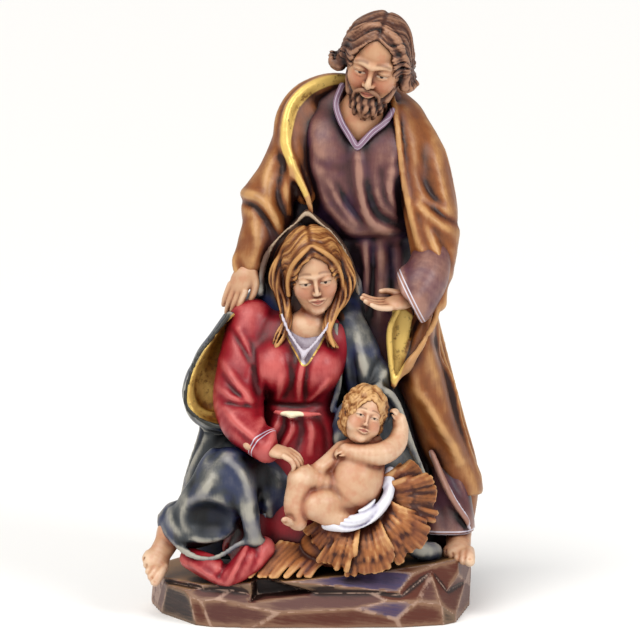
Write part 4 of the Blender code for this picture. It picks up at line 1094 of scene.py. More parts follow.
class Paints:
    """The paints of the group."""

    CLOAK = Finish("cloak_ochre_glaze", paint(44, 19, 11), paint(144, 84, 44), paint(208, 156, 102),
                   paint(102, 56, 52), ridge_highlight=0.44,
                   trims=(gilding("gilded"),))
    ROBE = Finish("robe_plum_glaze", paint(24, 10, 18), paint(104, 66, 66), paint(172, 128, 112),
                  paint(78, 52, 88), ridge_highlight=0.34,
                  trims=(*lines("cuff", 0.6, 2.2, width=0.55), *lines("hem", 0.2, 1.6, width=0.6),
                         Trim("seam", -FAR, 0.15, LILAC_SHADE, LILAC_WHITE)))
    COLLAR = Finish("collar_mauve", paint(44, 24, 36), paint(98, 66, 84), paint(142, 112, 134),
                    paint(84, 58, 80),
                    trims=lines("band", -0.95, 0.65, width=0.18))
    DRESS = Finish("dress_crimson_glaze", paint(62, 6, 14), paint(152, 28, 40), paint(212, 104, 100),
                   paint(118, 14, 36), ridge_highlight=0.36, depth=0.66,
                   trims=(Trim("inset", -FAR, 0.0, paint(120, 104, 118), paint(214, 206, 218)),
                          Trim("inset", -0.2, 0.6, GOLD_SHADOW, GOLD_LIGHT, 0.6, 0.15),
                          # a small pale gold patch on the middle of the belt
                          Trim("belt_patch", -FAR, 0.0, paint(190, 150, 90), paint(252, 240, 205)),
                          *lines("cuff", 0.3, 1.9)))
    MANTLE = Finish("mantle_grey_glaze", paint(10, 12, 18), paint(66, 70, 74), paint(172, 168, 156),
                    paint(40, 52, 100),
                    accent_share=0.5,
                    trims=(Trim("lining", -FAR, 0.0, paint(20, 10, 8), paint(110, 70, 50)),
                           gilding("gilded"),
                           Trim("veil", -FAR, 0.0, paint(26, 17, 17), paint(104, 80, 68), 0.0, 2.0),
                           # the pocket under the knee painted near-black: painted shade
                           Trim("scoop", -FAR, 0.0, paint(6, 8, 12), paint(44, 50, 58), 0.0, 1.6),
                           Trim("rim", -FAR, 0.6, paint(12, 14, 16), paint(62, 62, 58)),
                           Trim("veil_edge", -FAR, 0.1, paint(88, 70, 60), paint(186, 162, 136))))
    STRAW = Finish("straw_umber", paint(66, 30, 16), paint(164, 100, 56), paint(224, 170, 112),
                   paint(122, 62, 54),
                   depth=0.75, streak=0.20, grain_depth=0.2, roughness=0.5)
    CLOTH = Finish("child_linen", paint(128, 120, 150), paint(216, 214, 228), paint(246, 246, 252),
                   paint(190, 188, 212),
                   depth=0.6, streak=0.08)
    SKIN = SkinPaint("flesh", paint(112, 58, 36), paint(206, 158, 122), paint(238, 204, 172),
                     paint(214, 158, 126),
                     depth=0.75, ridge_highlight=0.3, streak=0.05, cloud=0.10, roughness=0.40, grain_depth=0.04)
    MAN_FACE = FacePaint("man_face", paint(104, 52, 32), paint(198, 148, 112), paint(234, 196, 160),
                         paint(206, 148, 116),
                         depth=0.45, ridge_highlight=0.2, streak=0.04, cloud=0.06, roughness=0.40, grain_depth=0.04)
    WOMAN_FACE = FacePaint("woman_face", paint(118, 62, 40), paint(212, 166, 130), paint(242, 210, 178),
                           paint(220, 164, 134),
                           depth=0.45, ridge_highlight=0.2, streak=0.04, cloud=0.06, roughness=0.40, grain_depth=0.04,
                           open_to=0.010, eye_high=0.019, eye_wide=0.068)
    CHILD_FACE = FacePaint("child_face", paint(122, 66, 42), paint(216, 170, 134), paint(244, 212, 180),
                           paint(224, 166, 136),
                           depth=0.45, ridge_highlight=0.2, streak=0.04, cloud=0.06, roughness=0.40, grain_depth=0.04,
                           open_to=0.022, eye_high=0.021, eye_wide=0.066)
    MAN_HAIR = Finish("man_hair_brown", paint(24, 11, 8), paint(92, 56, 42), paint(176, 130, 102),
                      paint(62, 36, 30),
                      streak=0.3, grain_depth=0.16)
    WOMAN_HAIR = Finish("woman_hair_chestnut", paint(46, 19, 10), paint(132, 78, 40), paint(214, 158, 96),
                        paint(100, 50, 26),
                        streak=0.3, grain_depth=0.16)
    CHILD_HAIR = Finish("child_hair_fair", paint(76, 36, 18), paint(164, 110, 64), paint(224, 176, 120),
                        paint(136, 82, 46),
                        streak=0.26, grain_depth=0.14)
    ROCK = StonePaint("rock_earths", paint(30, 16, 12), paint(120, 76, 50), paint(196, 158, 124),
                      paint(88, 52, 42),
                      depth=0.8, streak=0.25, cloud=0.16, roughness=0.5, grain_depth=0.22)


@dataclass
class Piece:
    """One visible piece: its form, how finely it is cut, its paint, and the areas that the paint needs."""

    name: str
    form: Form
    paint: Finish
    step: float
    areas: dict[str, Form] = field(default_factory=dict)
    head: Placed | None = None
    comb: Callable[[np.ndarray], np.ndarray] | None = None
    extra: Callable[[np.ndarray], dict[str, np.ndarray]] | None = None

    def built(self, surroundings: Surroundings,
              materials: dict[str, bpy.types.Material]) -> bpy.types.Object:
        """Cuts, measures and dresses the piece.

        Args:
            surroundings: the whole group.
            materials: the materials made so far, by name.

        Returns:
            The object.
        """
        skin = Skin.of(self.form, self.step * QUICK_COARSER)
        mesh = bpy.data.meshes.new(self.name)
        mesh.vertices.add(len(skin.points))
        mesh.vertices.foreach_set("co", (skin.points * MILLIMETRE).ravel())
        mesh.loops.add(skin.faces.size)
        mesh.loops.foreach_set("vertex_index", skin.faces.ravel())
        mesh.polygons.add(len(skin.faces))
        mesh.polygons.foreach_set("loop_start", np.arange(0, skin.faces.size, 4))
        mesh.polygons.foreach_set("use_smooth", np.ones(len(skin.faces), bool))
        mesh.update(calc_edges=True)
        for name, values in self.measured(skin, surroundings).items():
            kind, key = ("FLOAT", "value") if values.ndim == 1 else ("FLOAT_VECTOR", "vector")
            column = mesh.attributes.new(name, kind, "POINT")
            column.data.foreach_set(key, values.astype(np.float32).ravel())
        piece = bpy.data.objects.new(self.name, mesh)
        bpy.context.scene.collection.objects.link(piece)
        if self.paint.name not in materials:
            materials[self.paint.name] = self.paint.material()
        mesh.materials.append(materials[self.paint.name])
        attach(piece, BODY)
        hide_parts(NODE)
        log.info("%s: %d triangles", self.name, 2 * len(skin.faces))
        return piece

    def measured(self, skin: Skin, surroundings: Surroundings) -> dict[str, np.ndarray]:
        """Everything that the paint reads from the mesh.

        Args:
            skin: the cut surface.
            surroundings: the whole group.

        Returns:
            Values for each point, by name.
        """
        cell = (self.step * QUICK_COARSER) ** 2
        ridge, swell = (skin.ridge(max(2, round(area / cell))) for area in (RIDGE_AREA, SWELL_AREA))
        values = {
            # hollow, ridge and swell feed the painted shade in hollows and the painted highlights on ridges
            # and swellings
            "hollow": skin.spread(surroundings.hollow(skin.points, skin.normals), 2),
            "ridge": np.clip(ridge / (ridge.std() * 3 + 1e-6), -1, 1),
            "swell": np.clip(swell / (swell.std() * 3 + 1e-6), -1, 1),
            "comb": self.comb(skin.points) if self.comb else skin.points * (1.0, 1.0, 0.14)}
        for name, area in self.areas.items():
            values[name] = np.clip(area.distance(skin.points), -AREA_LIMIT, AREA_LIMIT)
        if self.head:
            values["local"] = self.head.local(skin.points)
        if self.extra:
            values.update(self.extra(skin.points))
        return values


def head_form(jaw: float = 0.17, brow: float = 1.0, nose: float = 1.0) -> Carving:
    """A head of height 1, centred between the ears and facing -Y.

    Args:
        jaw: how wide the jaw is.
        brow: how heavy the brow is.
        nose: how large the nose is.

    Returns:
        Its form, with closed or lowered lids.
    """
    h = Carving(HEAD_REACH).add(Ball((0, 0.05, 0.12), (0.32, 0.40, 0.38)))
    h.add(Ball((0, -0.08, -0.10), (0.285, 0.28, 0.36)), 0.10)
    h.add(Ball((0, -0.15, -0.34), (jaw, 0.17, 0.14)), 0.10)
    arch = ((-0.17, -0.30, 0.075), (-0.06, -0.355, 0.065), (0.06, -0.355, 0.065), (0.17, -0.30, 0.075))
    h.add(Limb([(x, y + 0.03 * (1 - brow), z, 0.045 * brow) for x, y, z in arch]), 0.06)
    for s in (-1, 1):
        h.add(Ball((s * 0.14, -0.23, -0.13), (0.11, 0.10, 0.12)), 0.08)
    for s in (-1, 1):
        h.cut(Ball((s * 0.125, -0.385, 0.0), (0.085, 0.03 + 0.03 * brow, 0.03 + 0.02 * brow)), 0.06)
        h.add(Ball((s * 0.125, -0.275, -0.005), 0.078), 0.015)
        lid = Carving(0.1).add(Ball((s * 0.125, -0.275, -0.005), 0.089))
        h.add(lid.keep(Block([((0, -0.34, 0.0), (0, -0.25, -1))], (-1, -1, -1), (1, 1, 1))), 0.008)
        h.add(Limb([(s * 0.07, -0.335, -0.045, 0.010), (s * 0.125, -0.350, -0.058, 0.012),
                    (s * 0.18, -0.325, -0.045, 0.010)]), 0.02)
    h.add(Limb([(0, -0.335, 0.06, 0.022), (0, -0.37, -0.02, 0.024),
                (0, -0.38 - 0.045 * nose, -0.12, 0.037 * nose),
                (0, -0.38 - 0.04 * nose, -0.145, 0.039 * nose)]), 0.03)
    for s in (-1, 1):
        h.add(Ball((s * 0.046 * nose, -0.375, -0.15), (0.030 * nose, 0.04, 0.028)), 0.02)
        h.add(Limb([(s * 0.10, -0.335, -0.247, 0.012), (s * 0.045, -0.372, -0.232, 0.022),
                    (0, -0.38, -0.24, 0.022)]), 0.02)
        h.add(Limb([(s * 0.09, -0.335, -0.26, 0.012), (s * 0.035, -0.365, -0.277, 0.027),
                    (0, -0.368, -0.278, 0.028)]), 0.02)
    h.cut(Limb([(-0.10, -0.36, -0.25, 0.006), (0, -0.41, -0.256, 0.010), (0.10, -0.36, -0.25, 0.006)]),
          0.015)
    return h.add(Ball((0, -0.29, -0.40), (0.08, 0.06, 0.06)), 0.06)


def hand_form(curl: float = 30.0, spread: float = 0.03, thumb: float = 0.0) -> Carving:
    """A hand of length 1: wrist at the origin, fingers along X, palm towards -Z and thumb on the +Y side.

    Args:
        curl: how far each joint bends, in degrees.
        spread: how far the fingers part.
        thumb: how far the thumb stands off.

    Returns:
        Its form.
    """
    h = Carving(HEAD_REACH).add(Limb([(-0.35, 0, 0.0, 0.15), (0.0, 0, 0.0, 0.135), (0.12, 0, 0, 0.15)],
                                     flat=0.8,
                              across=(0, 0, 1)))
    h.add(Ball((0.27, 0, 0), (0.26, 0.21, 0.11)), 0.08)
    for i, (reach, side) in enumerate(((0.46, 0.155), (0.52, 0.05), (0.48, -0.055), (0.38, -0.155))):
        rows, at, bend = [], np.array([0.42, side, 0.01]), 0.0
        for share, size in ((0.0, 0.062), (0.42, 0.056), (0.32, 0.051), (0.26, 0.042)):
            a = math.radians(bend)
            at = at + reach * share * np.array([math.cos(a), spread * (1.5 - i) * 2, -math.sin(a)])
            rows.append((*at, size))
            bend += curl * (0.6 if share == 0 else 1.0)
        h.add(Limb(rows, per_span=2), 0.018)
    return h.add(Limb([(0.05, 0.12, -0.02, 0.085), (0.22, 0.24, -0.06, 0.075),
                       (0.38, 0.28 + thumb, -0.10, 0.06), (0.50, 0.27 + thumb, -0.12, 0.048)]), 0.05)


def foot_form() -> Carving:
    """A foot of length 1: ankle over the origin, toes along X and the sole at z = -0.3."""
    f = Carving(HEAD_REACH).add(Limb([(-0.08, 0, 0.25, 0.14), (-0.06, 0, 0.02, 0.145),
                                      (-0.12, 0, -0.14, 0.15)]))
    f.add(Limb([(-0.08, 0, -0.08, 0.16), (0.2, 0, -0.14, 0.16), (0.45, 0.01, -0.19, 0.12)], flat=1.15,
               across=(0, 1, 0)), 0.08)
    f.add(Ball((0.42, 0.0, -0.18), (0.20, 0.22, 0.12)), 0.06)
    for i in range(5):
        side, far, size = 0.175 - 0.086 * i, 0.74 - 0.035 * i * (1 + 0.25 * i), 0.080 - 0.008 * i
        f.add(Limb([(0.45, side * 0.9, -0.17, size * 1.1), (far - 0.09, side, -0.17, size),
                    (far, side, -0.215, size)]), 0.014)
        f.cut(Ball((far + 0.055, side, -0.155), (0.035, size * 0.55, 0.02), (0, 35, 0)), 0.008)
    return f


def strands(place: Placed, swing: float = 0.2) -> Callable[[np.ndarray], np.ndarray]:
    """A comb that follows strands over a head from the parting.

    Args:
        place: the head.
        swing: how far the strands wave, in radians.

    Returns:
        A function from points to noise coordinates.
    """
    def comb(points: np.ndarray) -> np.ndarray:
        """Noise coordinates: close across the strands and long along them."""
        x, y, z = place.local(points).T
        turn, over = np.arctan2(y, z - 0.02), np.arctan2(np.abs(x), np.hypot(y, z - 0.02))
        swung = turn + swing * np.sin(over * WAVE_OVER + turn * WAVE_TURN)
        return np.stack([swung * 22, over * 2.0, np.sign(x) * 3.0], 1)
    return comb


@dataclass
class RockBase:
    """The ground: two tiers of rock, cut by broad flat chisel strokes."""

    width: float = 156.0
    depth: float = 114.0
    height: float = 24.0
    drawn_size: Row = (156.0, 114.0, 24.0)
    back_sides: int = 9
    back_from: float = -8.0
    back_apart: float = 25.0
    back_half: Row = (78.0, 50.0)
    squareness: float = 2.6
    seed: int = 11
    step: float = 1.1

    def shaped(self, rows: Sequence[tuple[Row, Row, float]], top: float) -> tuple[Block, np.ndarray]:
        """A tier and the colour number of each of its faces.

        Args:
            rows: for each face a point, its outward direction and its colour from 0 to 1.
            top: the height of the tier's box.

        Returns:
            The block and the colours.
        """
        w, d, h = (a / b for a, b in zip((self.width, self.depth, self.height), self.drawn_size))
        planes = [((x * w, y * d, z * h), (a / w, b / d, c / h)) for (x, y, z), (a, b, c), _ in rows]
        block = Block([((0, 0, 0), (0, 0, -1)), *planes], (-84 * w, -62 * d, 0), (84 * w, 56 * d, top * h))
        return block, np.array([0.0, *(tone for *_, tone in rows)])

    def tiers(self) -> list[tuple[Block, np.ndarray]]:
        """The lower tier, the upper one and the wedge cut out below its front edge."""
        rng = np.random.default_rng(self.seed)
        back, power = [], self.squareness
        for i in range(self.back_sides):
            a = math.radians(self.back_from + self.back_apart * i) + rng.uniform(-0.08, 0.08)
            out = np.array([math.cos(a), math.sin(a)])
            r = 1 / sum((abs(c) / half) ** power for c, half in zip(out, self.back_half)) ** (1 / power)
            back.append(((out[0] * r, out[1] * r, 12), (*out, rng.uniform(-0.22, 0.28)),
                         (0.25, 0.5, 0.25)[i % 3]))
        # each face's last number is its colour: 0 is near-black painted shade, given to the faces turned
        # down and to those in the recess under the front edge; 0.25 russet, 0.5 plum, 0.75 slate and 1
        # olive
        lower = [
            *back, ((-72, -30, 8), (-0.82, -0.52, -0.20), 0.0),
            ((-63, -48, 6), (-0.48, -0.88, -0.16), 0.25), ((-34, -56.6, 8), (-0.14, -0.99, -0.02), 0.5),
            ((-4, -59.0, 9), (0.02, -1.0, -0.26), 0.25), ((24, -58.6, 9), (0.10, -0.99, 0.02), 0.75),
            ((50, -55.4, 9), (0.26, -0.96, -0.16), 0.25), ((69.5, -46, 8), (0.72, -0.70, -0.06), 0.0),
            ((-44, -55.5, 14.2), (-0.18, -0.72, 0.66), 0.5), ((0, -57.6, 11.4), (-0.02, -0.86, 0.5), 0.5),
            ((34, -56.6, 14.8), (0.12, -0.70, 0.70), 0.25), ((60, -51.5, 13.4), (0.32, -0.72, 0.6), 0.5),
            ((77.5, -20, 9), (0.90, -0.36, 0.55), 0.25), ((0, 0, 22), (-0.07, 0, 1), 1.0)]
        upper = [
            *back, ((-68, -30, 14), (-0.75, -0.62, -0.35), 0.0),
            ((-40, -52, 16), (-0.18, -0.95, -0.24), 0.0), ((-8, -55, 18), (0.0, -1.0, -0.45), 0.0),
            ((37, -53.5, 20.5), (0.10, -0.80, 0.60), 0.75), ((60, -42, 20), (0.55, -0.78, 0.16), 0.25),
            ((73.5, -26, 18), (0.88, -0.36, -0.46), 0.25), ((0, -20, 24.4), (-0.072, 0, 1), 1.0),
            ((62, -40, 28.2), (0.10, -0.42, 0.90), 0.25)]
        wedge = [((-2, -60, 20), (0.25, 0.2, 0.9), 0.0), ((-2, -60, 16), (0.12, 0.1, -1.0), 0.5),
                 ((0, -46, 18), (0, 1, 0.1), 0.0), ((36, -55, 17), (1, 0.2, 0), 0.0),
                 ((-30, -55, 17), (-1, 0.3, 0), 0.0)]
        return [self.shaped(lower, 34), self.shaped(upper, 34), self.shaped(wedge, 40)]

    def carving(self) -> Carving:
        """The rock's form."""
        lower, upper, wedge = (block for block, _ in self.tiers())
        return Carving().add(lower).add(upper).cut(wedge)

    def faces(self, points: np.ndarray) -> dict[str, np.ndarray]:
        """Which cut face each point lies on, and how near its edge.

        Args:
            points: points on the rock.

        Returns:
            The face's colour number, and the distance to an edge.
        """
        tops, gaps, tones = [], [], []
        for block, colours in self.tiers():
            heights = block.heights(points)
            order = np.argsort(heights, axis=0)
            best, second = (np.take_along_axis(heights, order[i][None], 0)[0] for i in (-1, -2))
            tops.append(best)
            gaps.append(best - second)
            tones.append(colours[order[-1]])
        tier = np.where(-tops[2] > np.minimum(tops[0], tops[1]), 2, np.where(tops[0] < tops[1], 0, 1))[None]
        joint = np.abs(tops[0] - tops[1])
        gap = np.minimum(np.take_along_axis(np.stack(gaps), tier, 0)[0], np.where(tier[0] < 2, joint, FAR))
        return {"facet": np.take_along_axis(np.stack(tones), tier, 0)[0],
                "edge": np.clip(gap, 0, AREA_LIMIT)}

    def pieces(self) -> list[Piece]:
        """The rock."""
        return [Piece("rock_base", self.carving(), Paints.ROCK, self.step, extra=self.faces,
                      comb=lambda p: p * (0.10, 0.10, 0.9) + (p[:, :1] + p[:, 1:2]) * (0, 0, 0.12))]


@dataclass
class Figure:
    """What the three figures share: where the head is, and how finely they are cut."""

    head_place: Row
    head_turn: Row
    head_size: float
    cloth_step: float = 1.35
    fine_step: float = 0.58

    def at_head(self, form: Form) -> Placed:
        """A form put where the head is."""
        return Placed(form, self.head_place, self.head_turn, self.head_size)


@dataclass
class StandingMan(Figure):
    """The man who bends over the others, in a long robe and a wide cloak."""

    head_place: Row = (32.0, -5.0, 275.2)
    head_turn: Row = (19, 13, -7)
    head_size: float = 44.0
    cuff: Row = (47.0, -22.0, 160.0)
    wrist: Row = (0.89, 0.0, 0.44)
    hair_layers: int = 4
    beard_locks: int = 7

    def robe(self) -> Carving:
        """The robe: a belted blouse, the skirt behind the others, and the right sleeve."""
        robe = Carving().add(Stack([
            (26, 8, 80, -6, 44), (60, 4, 76, -2, 44), (100, 0, 66, 0, 42), (150, -4, 57, 2, 40),
            (180, -4, 54, 0, 38), (190, -8, 56, -6, 38), (212, -9, 58, -8, 38), (238, -10, 58, -2, 38),
            (252, -4, 50, 2, 32), (262, 10, 38, 6, 28)], edge=5))
        robe.add(Ball((8, 2, 226), (15, 12, 20)), 12).add(Ball((36, 2, 224), (15, 12, 20)), 12)
        sleeve = Carving().bar((60, -4, 190, 8), (59, -11, 177, 10), (56, -17, 168, 11.5),
                               (49, -21, 158, 13.0))
        sleeve.cut(Block([(self.cuff, self.wrist)], (20, -60, 130), (80, 10, 190)), 0.8)
        robe.add(sleeve, 2)
        robe.groove((38, -24, 151, 9.6), (48, -20.5, 158.5, 10.2), (55, -17, 167, 5.0), blend=0.8)
        robe.add(Stack([(30, 60, 78, -6, 24), (50, 58, 78, -8, 24), (75, 60, 76, -7, 20)], edge=5), 4)
        robe.add(Stack([(39, 53, 82, -21, 24), (46, 55, 81.5, -18, 24), (56, 57, 80, -13, 24),
                        (75, 60, 76, -7, 20)], power=3, edge=1.2), 1)
        robe.groove((25, 2, 266, 13), (25, -3, 252, 9.5), (22.5, -8, 240, 5), (22, -9, 234, 1.5))
        robe.bar((-5, 7, 216, 4.5), (-5.5, 6, 202, 5.5), (-6, 5, 190, 6), blend=3)
        ridges = (
            (3.4, 2.4, [(22.5, 233), (24, 212), (28, 197), (37, 189)]),
            (3.4, -2.0, [(27, 214), (32, 200), (43, 192)]), (4.2, 1.9, [(4, 210), (12, 198), (21, 190)]),
            (2.6, -1.2, [(1, 200), (8, 192), (16, 188)]), (4.7, -1.8, [(43, 214), (46, 202), (46, 194)]),
            (2.3, -2.0, [(2, 187.5), (14, 186), (30, 186.5), (48, 188)]),
            (3.1, 1.9, [(14, 184), (12, 168), (9, 150)]), (2.9, 2.4, [(26.5, 184), (27, 168), (26, 150)]),
            (4.4, 1.9, [(34, 184), (35, 165), (34, 146)]),
            (2.3, -1.3, [(30.5, 184), (30, 165), (29, 148)]),
            (3.4, 1.6, [(43, 184), (44, 165), (43, 148)]),
            (2.3, -1.2, [(39, 182), (39.5, 165), (39, 148)]),
            (2.3, -1.2, [(19, 182), (18, 165), (16, 148)]), (2.2, 2.4, [(60, 82), (67, 62), (77, 46)]),
            (3.6, -1.5, [(56, 76), (61, 60), (66, 44)]), (2.9, -1.2, [(69, 74), (72, 62), (77, 52)]),
            (3.4, -0.8, [(-4, 236), (2, 226), (14, 222)]), (3.4, -0.7, [(50, 236), (44, 226), (36, 222)]),
            (2.6, 1.4, [(40, 226), (39, 210), (42, 198)]), (2.1, -0.9, [(34, 222), (36, 208), (43, 198)]),
            (2.1, 1.1, [(8, 216), (14, 204), (22, 194)]), (1.8, -0.8, [(13, 214), (18, 204), (25, 195)]),
            (3.9, -3.0, [(-4, 240), (-3, 222), (2, 204)]))
        robe.drawn(ridges, Side.FRONT, 16)
        return robe.add(self.seam(), 1.5)

    def seam(self) -> Limb:
        """The pale seam beside the foot."""
        return Limb([(59, -12.5, 80, 0.9), (64, -16, 69, 1.1), (71, -19.5, 58, 1.1), (77, -19.5, 48, 1.0),
                     (79, -18.5, 41, 0.8)])

    def collar(self) -> Carving:
        """The collar's V, a flat band."""
        left = [(15, 3, 262), (12, -4, 254), (14, -7.5, 246), (18, -9.5, 239), (22.5, -10.5, 232.5)]
        right = [(40, -2, 250), (36, -6.5, 244.5), (30, -9.5, 240), (22.5, -10.5, 232.5)]
        return Carving().add(even(left, 1.7, 0.7)).add(even(right, 1.7, 0.7))

    def throat(self) -> Patch:
        """The opening inside the middle of that band."""
        return Patch([(15, 262), (12, 254), (14, 246), (18, 239), (22.5, 232.5), (30, 240), (36, 244.5),
                      (40, 250), (28, 270)], 20)

    def rim(self, radius: float) -> Carving:
        """The cloak's rolled left edge, from the neck round the shoulder to the waist."""
        rows = [(20, 12, 266, 0.6), (8, 9, 265, 0.8), (-2.5, 5, 261, 0.9), (-10, 1, 254, 1.0),
                (-13, -3, 246, 1.0), (-13.5, -5, 237, 1.05), (-11.5, -7, 228, 1.0), (-7, -9, 218, 0.9),
                (-2, -10, 207, 0.7), (0, -10, 198, 0.5)]
        return Carving().add(Limb([(x, y, z, r * radius) for x, y, z, r in rows]))

    def lapel(self, radius: float) -> Carving:
        """The cloak's right edge, down the chest and round under the hand."""
        rows = [(40, 4, 257, 0.8), (42, -5, 244, 0.9), (43.5, -8, 230, 1), (46, -10, 213, 1),
                (51, -14, 193, 1), (58, -18, 172, 1), (61.5, -20, 160, 1), (60.5, -21, 147, 1),
                (53, -22, 133, 0.9), (44, -22, 121, 0.8), (40.5, -22, 115, 0.6)]
        return Carving().add(Limb([(x, y, z, r * radius) for x, y, z, r in rows]))

    def cloak(self) -> Carving:
        """The cloak: its mass behind, both sleeves, the rolled edges and the folds."""
        cloak = Carving().add(Stack([
            (24, 6, 80, 14, 50), (58, 4, 85, 12, 50), (90, 0, 76.5, 14, 50), (125, -4, 66.5, 15, 48),
            (150, -10, 61, 15, 46), (185, -16, 66, 15, 45), (215, -16, 64, 12, 43), (236, -13, 60, 10, 40),
            (248, -9, 54.5, 7, 36), (262, 6, 42, 10, 33)], edge=5))
        cloak.add(Limb([(44.5, 14, 243, 12), (52.5, 9, 229, 12.5), (57.5, 4, 208, 12.8),
                        (60.5, -2, 190, 12.8), (60.5, -8, 172, 10.5)]), 6)
        cloak.bar((43, 4, 247, 6), (47.5, 0, 232, 7), (50.5, -3, 212, 7.5), (55.5, -8, 192, 7.5),
                  (60.5, -14, 172, 6.5), (62, -16, 156, 5), blend=5)
        cloak.add(Limb([(-4, 14, 246, 12.5), (-8.5, 8, 230, 12.5), (-15.5, 3, 217, 11.5),
                        (-22.5, 0, 205, 12.5), (-22.5, -3, 194, 12), (-25.5, -6, 184, 11.5),
                        (-29, -9, 177, 9.5)]), 5)
        cloak.add(Limb([(20, 16, 263, 4), (8, 13, 262, 5.5), (-3, 11, 257, 6.5), (-9, 8, 250, 7),
                        (-11.5, 4, 242, 7.5), (-11, 1, 232, 7), (-7, -1, 221, 6), (-3, -3, 208, 5)]), 3)
        cloak.add(Stack([
            (56.5, 67, 86.8, -7, 30), (63, 64, 85.2, -8, 30), (78, 55, 79, -11, 30),
            (95, 48, 73.5, -13, 30), (115, 42, 68.5, -16, 30), (130, 44, 63.8, -17, 30),
            (150, 54, 60.5, -14, 30)], power=3, edge=1.2), 3)
        cloak.cut(Stack([(192, 4, 46, -40, 9), (225, 2, 44, -40, 9), (250, 0, 44, -40, 8),
                         (264, 8, 40, -40, 10)], edge=3), 2)
        cloak.groove((-2, -8, 236, 5), (0, -10, 222, 5), (4, -12, 204, 4), (8, -12, 192, 2))
        cloak.cut(self.fall(), 2)
        cloak.add(Limb([(45, -12, 150, 5.5), (43.5, -13, 138, 5), (42, -15, 126, 3.4),
                        (41, -18, 117, 1.6)], flat=0.45), 1)
        cloak.add(self.rim(2.3), 2.5).add(self.lapel(1.7), 2.5)
        cloak.bar((40.5, -22, 115, 1.2), (39, -20, 128, 1.6), (38.5, -19, 143, 1.7), (43, -18, 153, 1.4),
                  (46, -18, 158, 1.0), blend=1.5)
        cloak.bar((-35, -10, 180, 2), (-37.5, -12, 176, 2.2), (-36, -14, 170.5, 2.2), (-31, -15, 172, 2.0),
                  (-27, -13, 178, 1.8), blend=3)
        ridges = (
            (3.4, 3.4, [(-35.5, 209), (-27, 208), (-21, 202), (-15, 192)]),
            (2.6, -1.7, [(-35, 205), (-28, 203), (-22, 196), (-18, 188)]),
            (3.4, 1.6, [(-17, 234), (-23, 216), (-17, 197)]),
            (3.1, 1.8, [(-10, 224), (-12, 208), (-8, 194)]),
            (2.3, -1.2, [(-14, 226), (-17, 208), (-13, 194)]),
            (3.4, 1.4, [(-30, 198), (-27, 186), (-30, 176)]),
            (2.9, -1.2, [(-22, 196), (-20, 186), (-22, 174)]),
            (3.9, 1.6, [(-14, 192), (-12, 180), (-14, 168)]),
            (2.0, -1.4, [(56, 205), (64, 199), (73, 193)]), (3.1, 1.9, [(53, 204), (62, 196), (72, 189)]),
            (3.9, 1.3, [(61, 234), (65, 216), (68, 202)]), (3.4, -0.9, [(54, 232), (57, 216), (62, 204)]),
            (3.1, 1.6, [(56, 196), (62, 182), (67, 170)]), (2.3, -1.0, [(60, 192), (66, 180), (70, 170)]),
            (2.1, -0.8, [(52, 222), (58, 210), (66, 204)]), (2.6, 1.3, [(55, 182), (60, 172), (62, 162)]),
            (4.7, 1.9, [(48, 128), (52, 112), (57, 104)]),
            (3.9, 3.5, [(56, 108), (63, 95), (70, 84), (74, 76)]),
            (3.6, -1.7, [(60, 138), (67, 116), (72, 98), (78, 78)]),
            (2.1, -0.9, [(58, 139), (63, 131), (68, 120)]), (3.9, -1.5, [(44, 108), (50, 96), (56, 84)]),
            (3.9, 1.6, [(70, 122), (76, 100), (81, 78)]))
        cloak.drawn(ridges, Side.FRONT, 14)
        pleats = (
            (5.2, 2.6, [(-6, 236), (-9, 180), (-4, 110), (5, 50), (8, 26)]),
            (3.6, -2.4, [(0, 214), (-2, 170), (4, 100), (14, 40), (15, 26)]),
            (4.6, 2.4, [(8, 196), (4, 150), (10, 90), (21, 26)]),
            (3.2, -2.2, [(17, 226), (12, 170), (17, 100), (28, 26)]),
            (5.6, 3.0, [(24, 240), (20, 180), (24, 110), (36, 26)]),
            (3.6, -2.6, [(31, 206), (29, 150), (33, 90), (43, 26)]),
            (4.4, 2.2, [(38, 184), (37, 130), (41, 80), (50, 26)]),
            (3.4, -2.4, [(42, 230), (44, 170), (48, 100), (57, 26)]),
            (5.0, 2.8, [(50, 238), (51, 180), (56, 110), (65, 50), (66, 26)]),
            (3.2, -2.2, [(57, 200), (59, 140), (64, 80), (72, 26)]),
            (4.6, 2.0, [(60, 150), (66, 100), (76, 50), (78, 26)]))
        cloak.drawn(pleats, Side.BACK, 22)
        cloak.folds(3.2, 2.2,
                    fan([(8, 230), (6, 170), (4, 110), (2, 64)],
                        [(29, 230), (30, 170), (34, 110), (35, 64)], 4), Side.RIGHT, 48)
        return cloak.folds(2.4, -2.0,
                           fan([(12, 220), (10, 160), (9, 100), (7, 60)],
                               [(33, 220), (34, 160), (39, 100), (40, 60)], 4), Side.RIGHT, 48)

    def fall(self) -> Limb:
        """The deep gilded hollow where the cloak falls open under the hand."""
        return Limb([(50, -23, 150, 6.5), (46, -23, 138, 5.8), (42, -23, 124, 3.0)])

    def lining(self) -> Carving:
        """Where the cloak's inner side shows gold."""
        strip = Limb([(15, 9, 265, 2.4), (7, 6, 264, 3.0), (-2.5, 3, 259.5, 3.4), (-9.5, -2, 251, 3.4),
                      (-12.5, -6, 240, 3.0), (-12.5, -8, 231, 2.4), (-8, -9.5, 220, 1.8),
                      (-3, -10.5, 209, 1.4)])
        fall = Patch([(36, 147), (42, 153), (50, 149), (50, 140), (46, 127), (41, 115), (37, 124),
                      (35.5, 136)], -4, 2)
        return Carving().add(strip).add(fall)

    def head(self) -> Carving:
        """The head and neck."""
        head = Carving().add(self.at_head(head_form()))
        head.bar((25, 14, 248.5, 11), (30, 6, 262.5, 10), blend=3)
        return head.add(Ball((24, 2, 245), (12, 10, 15)), 4)

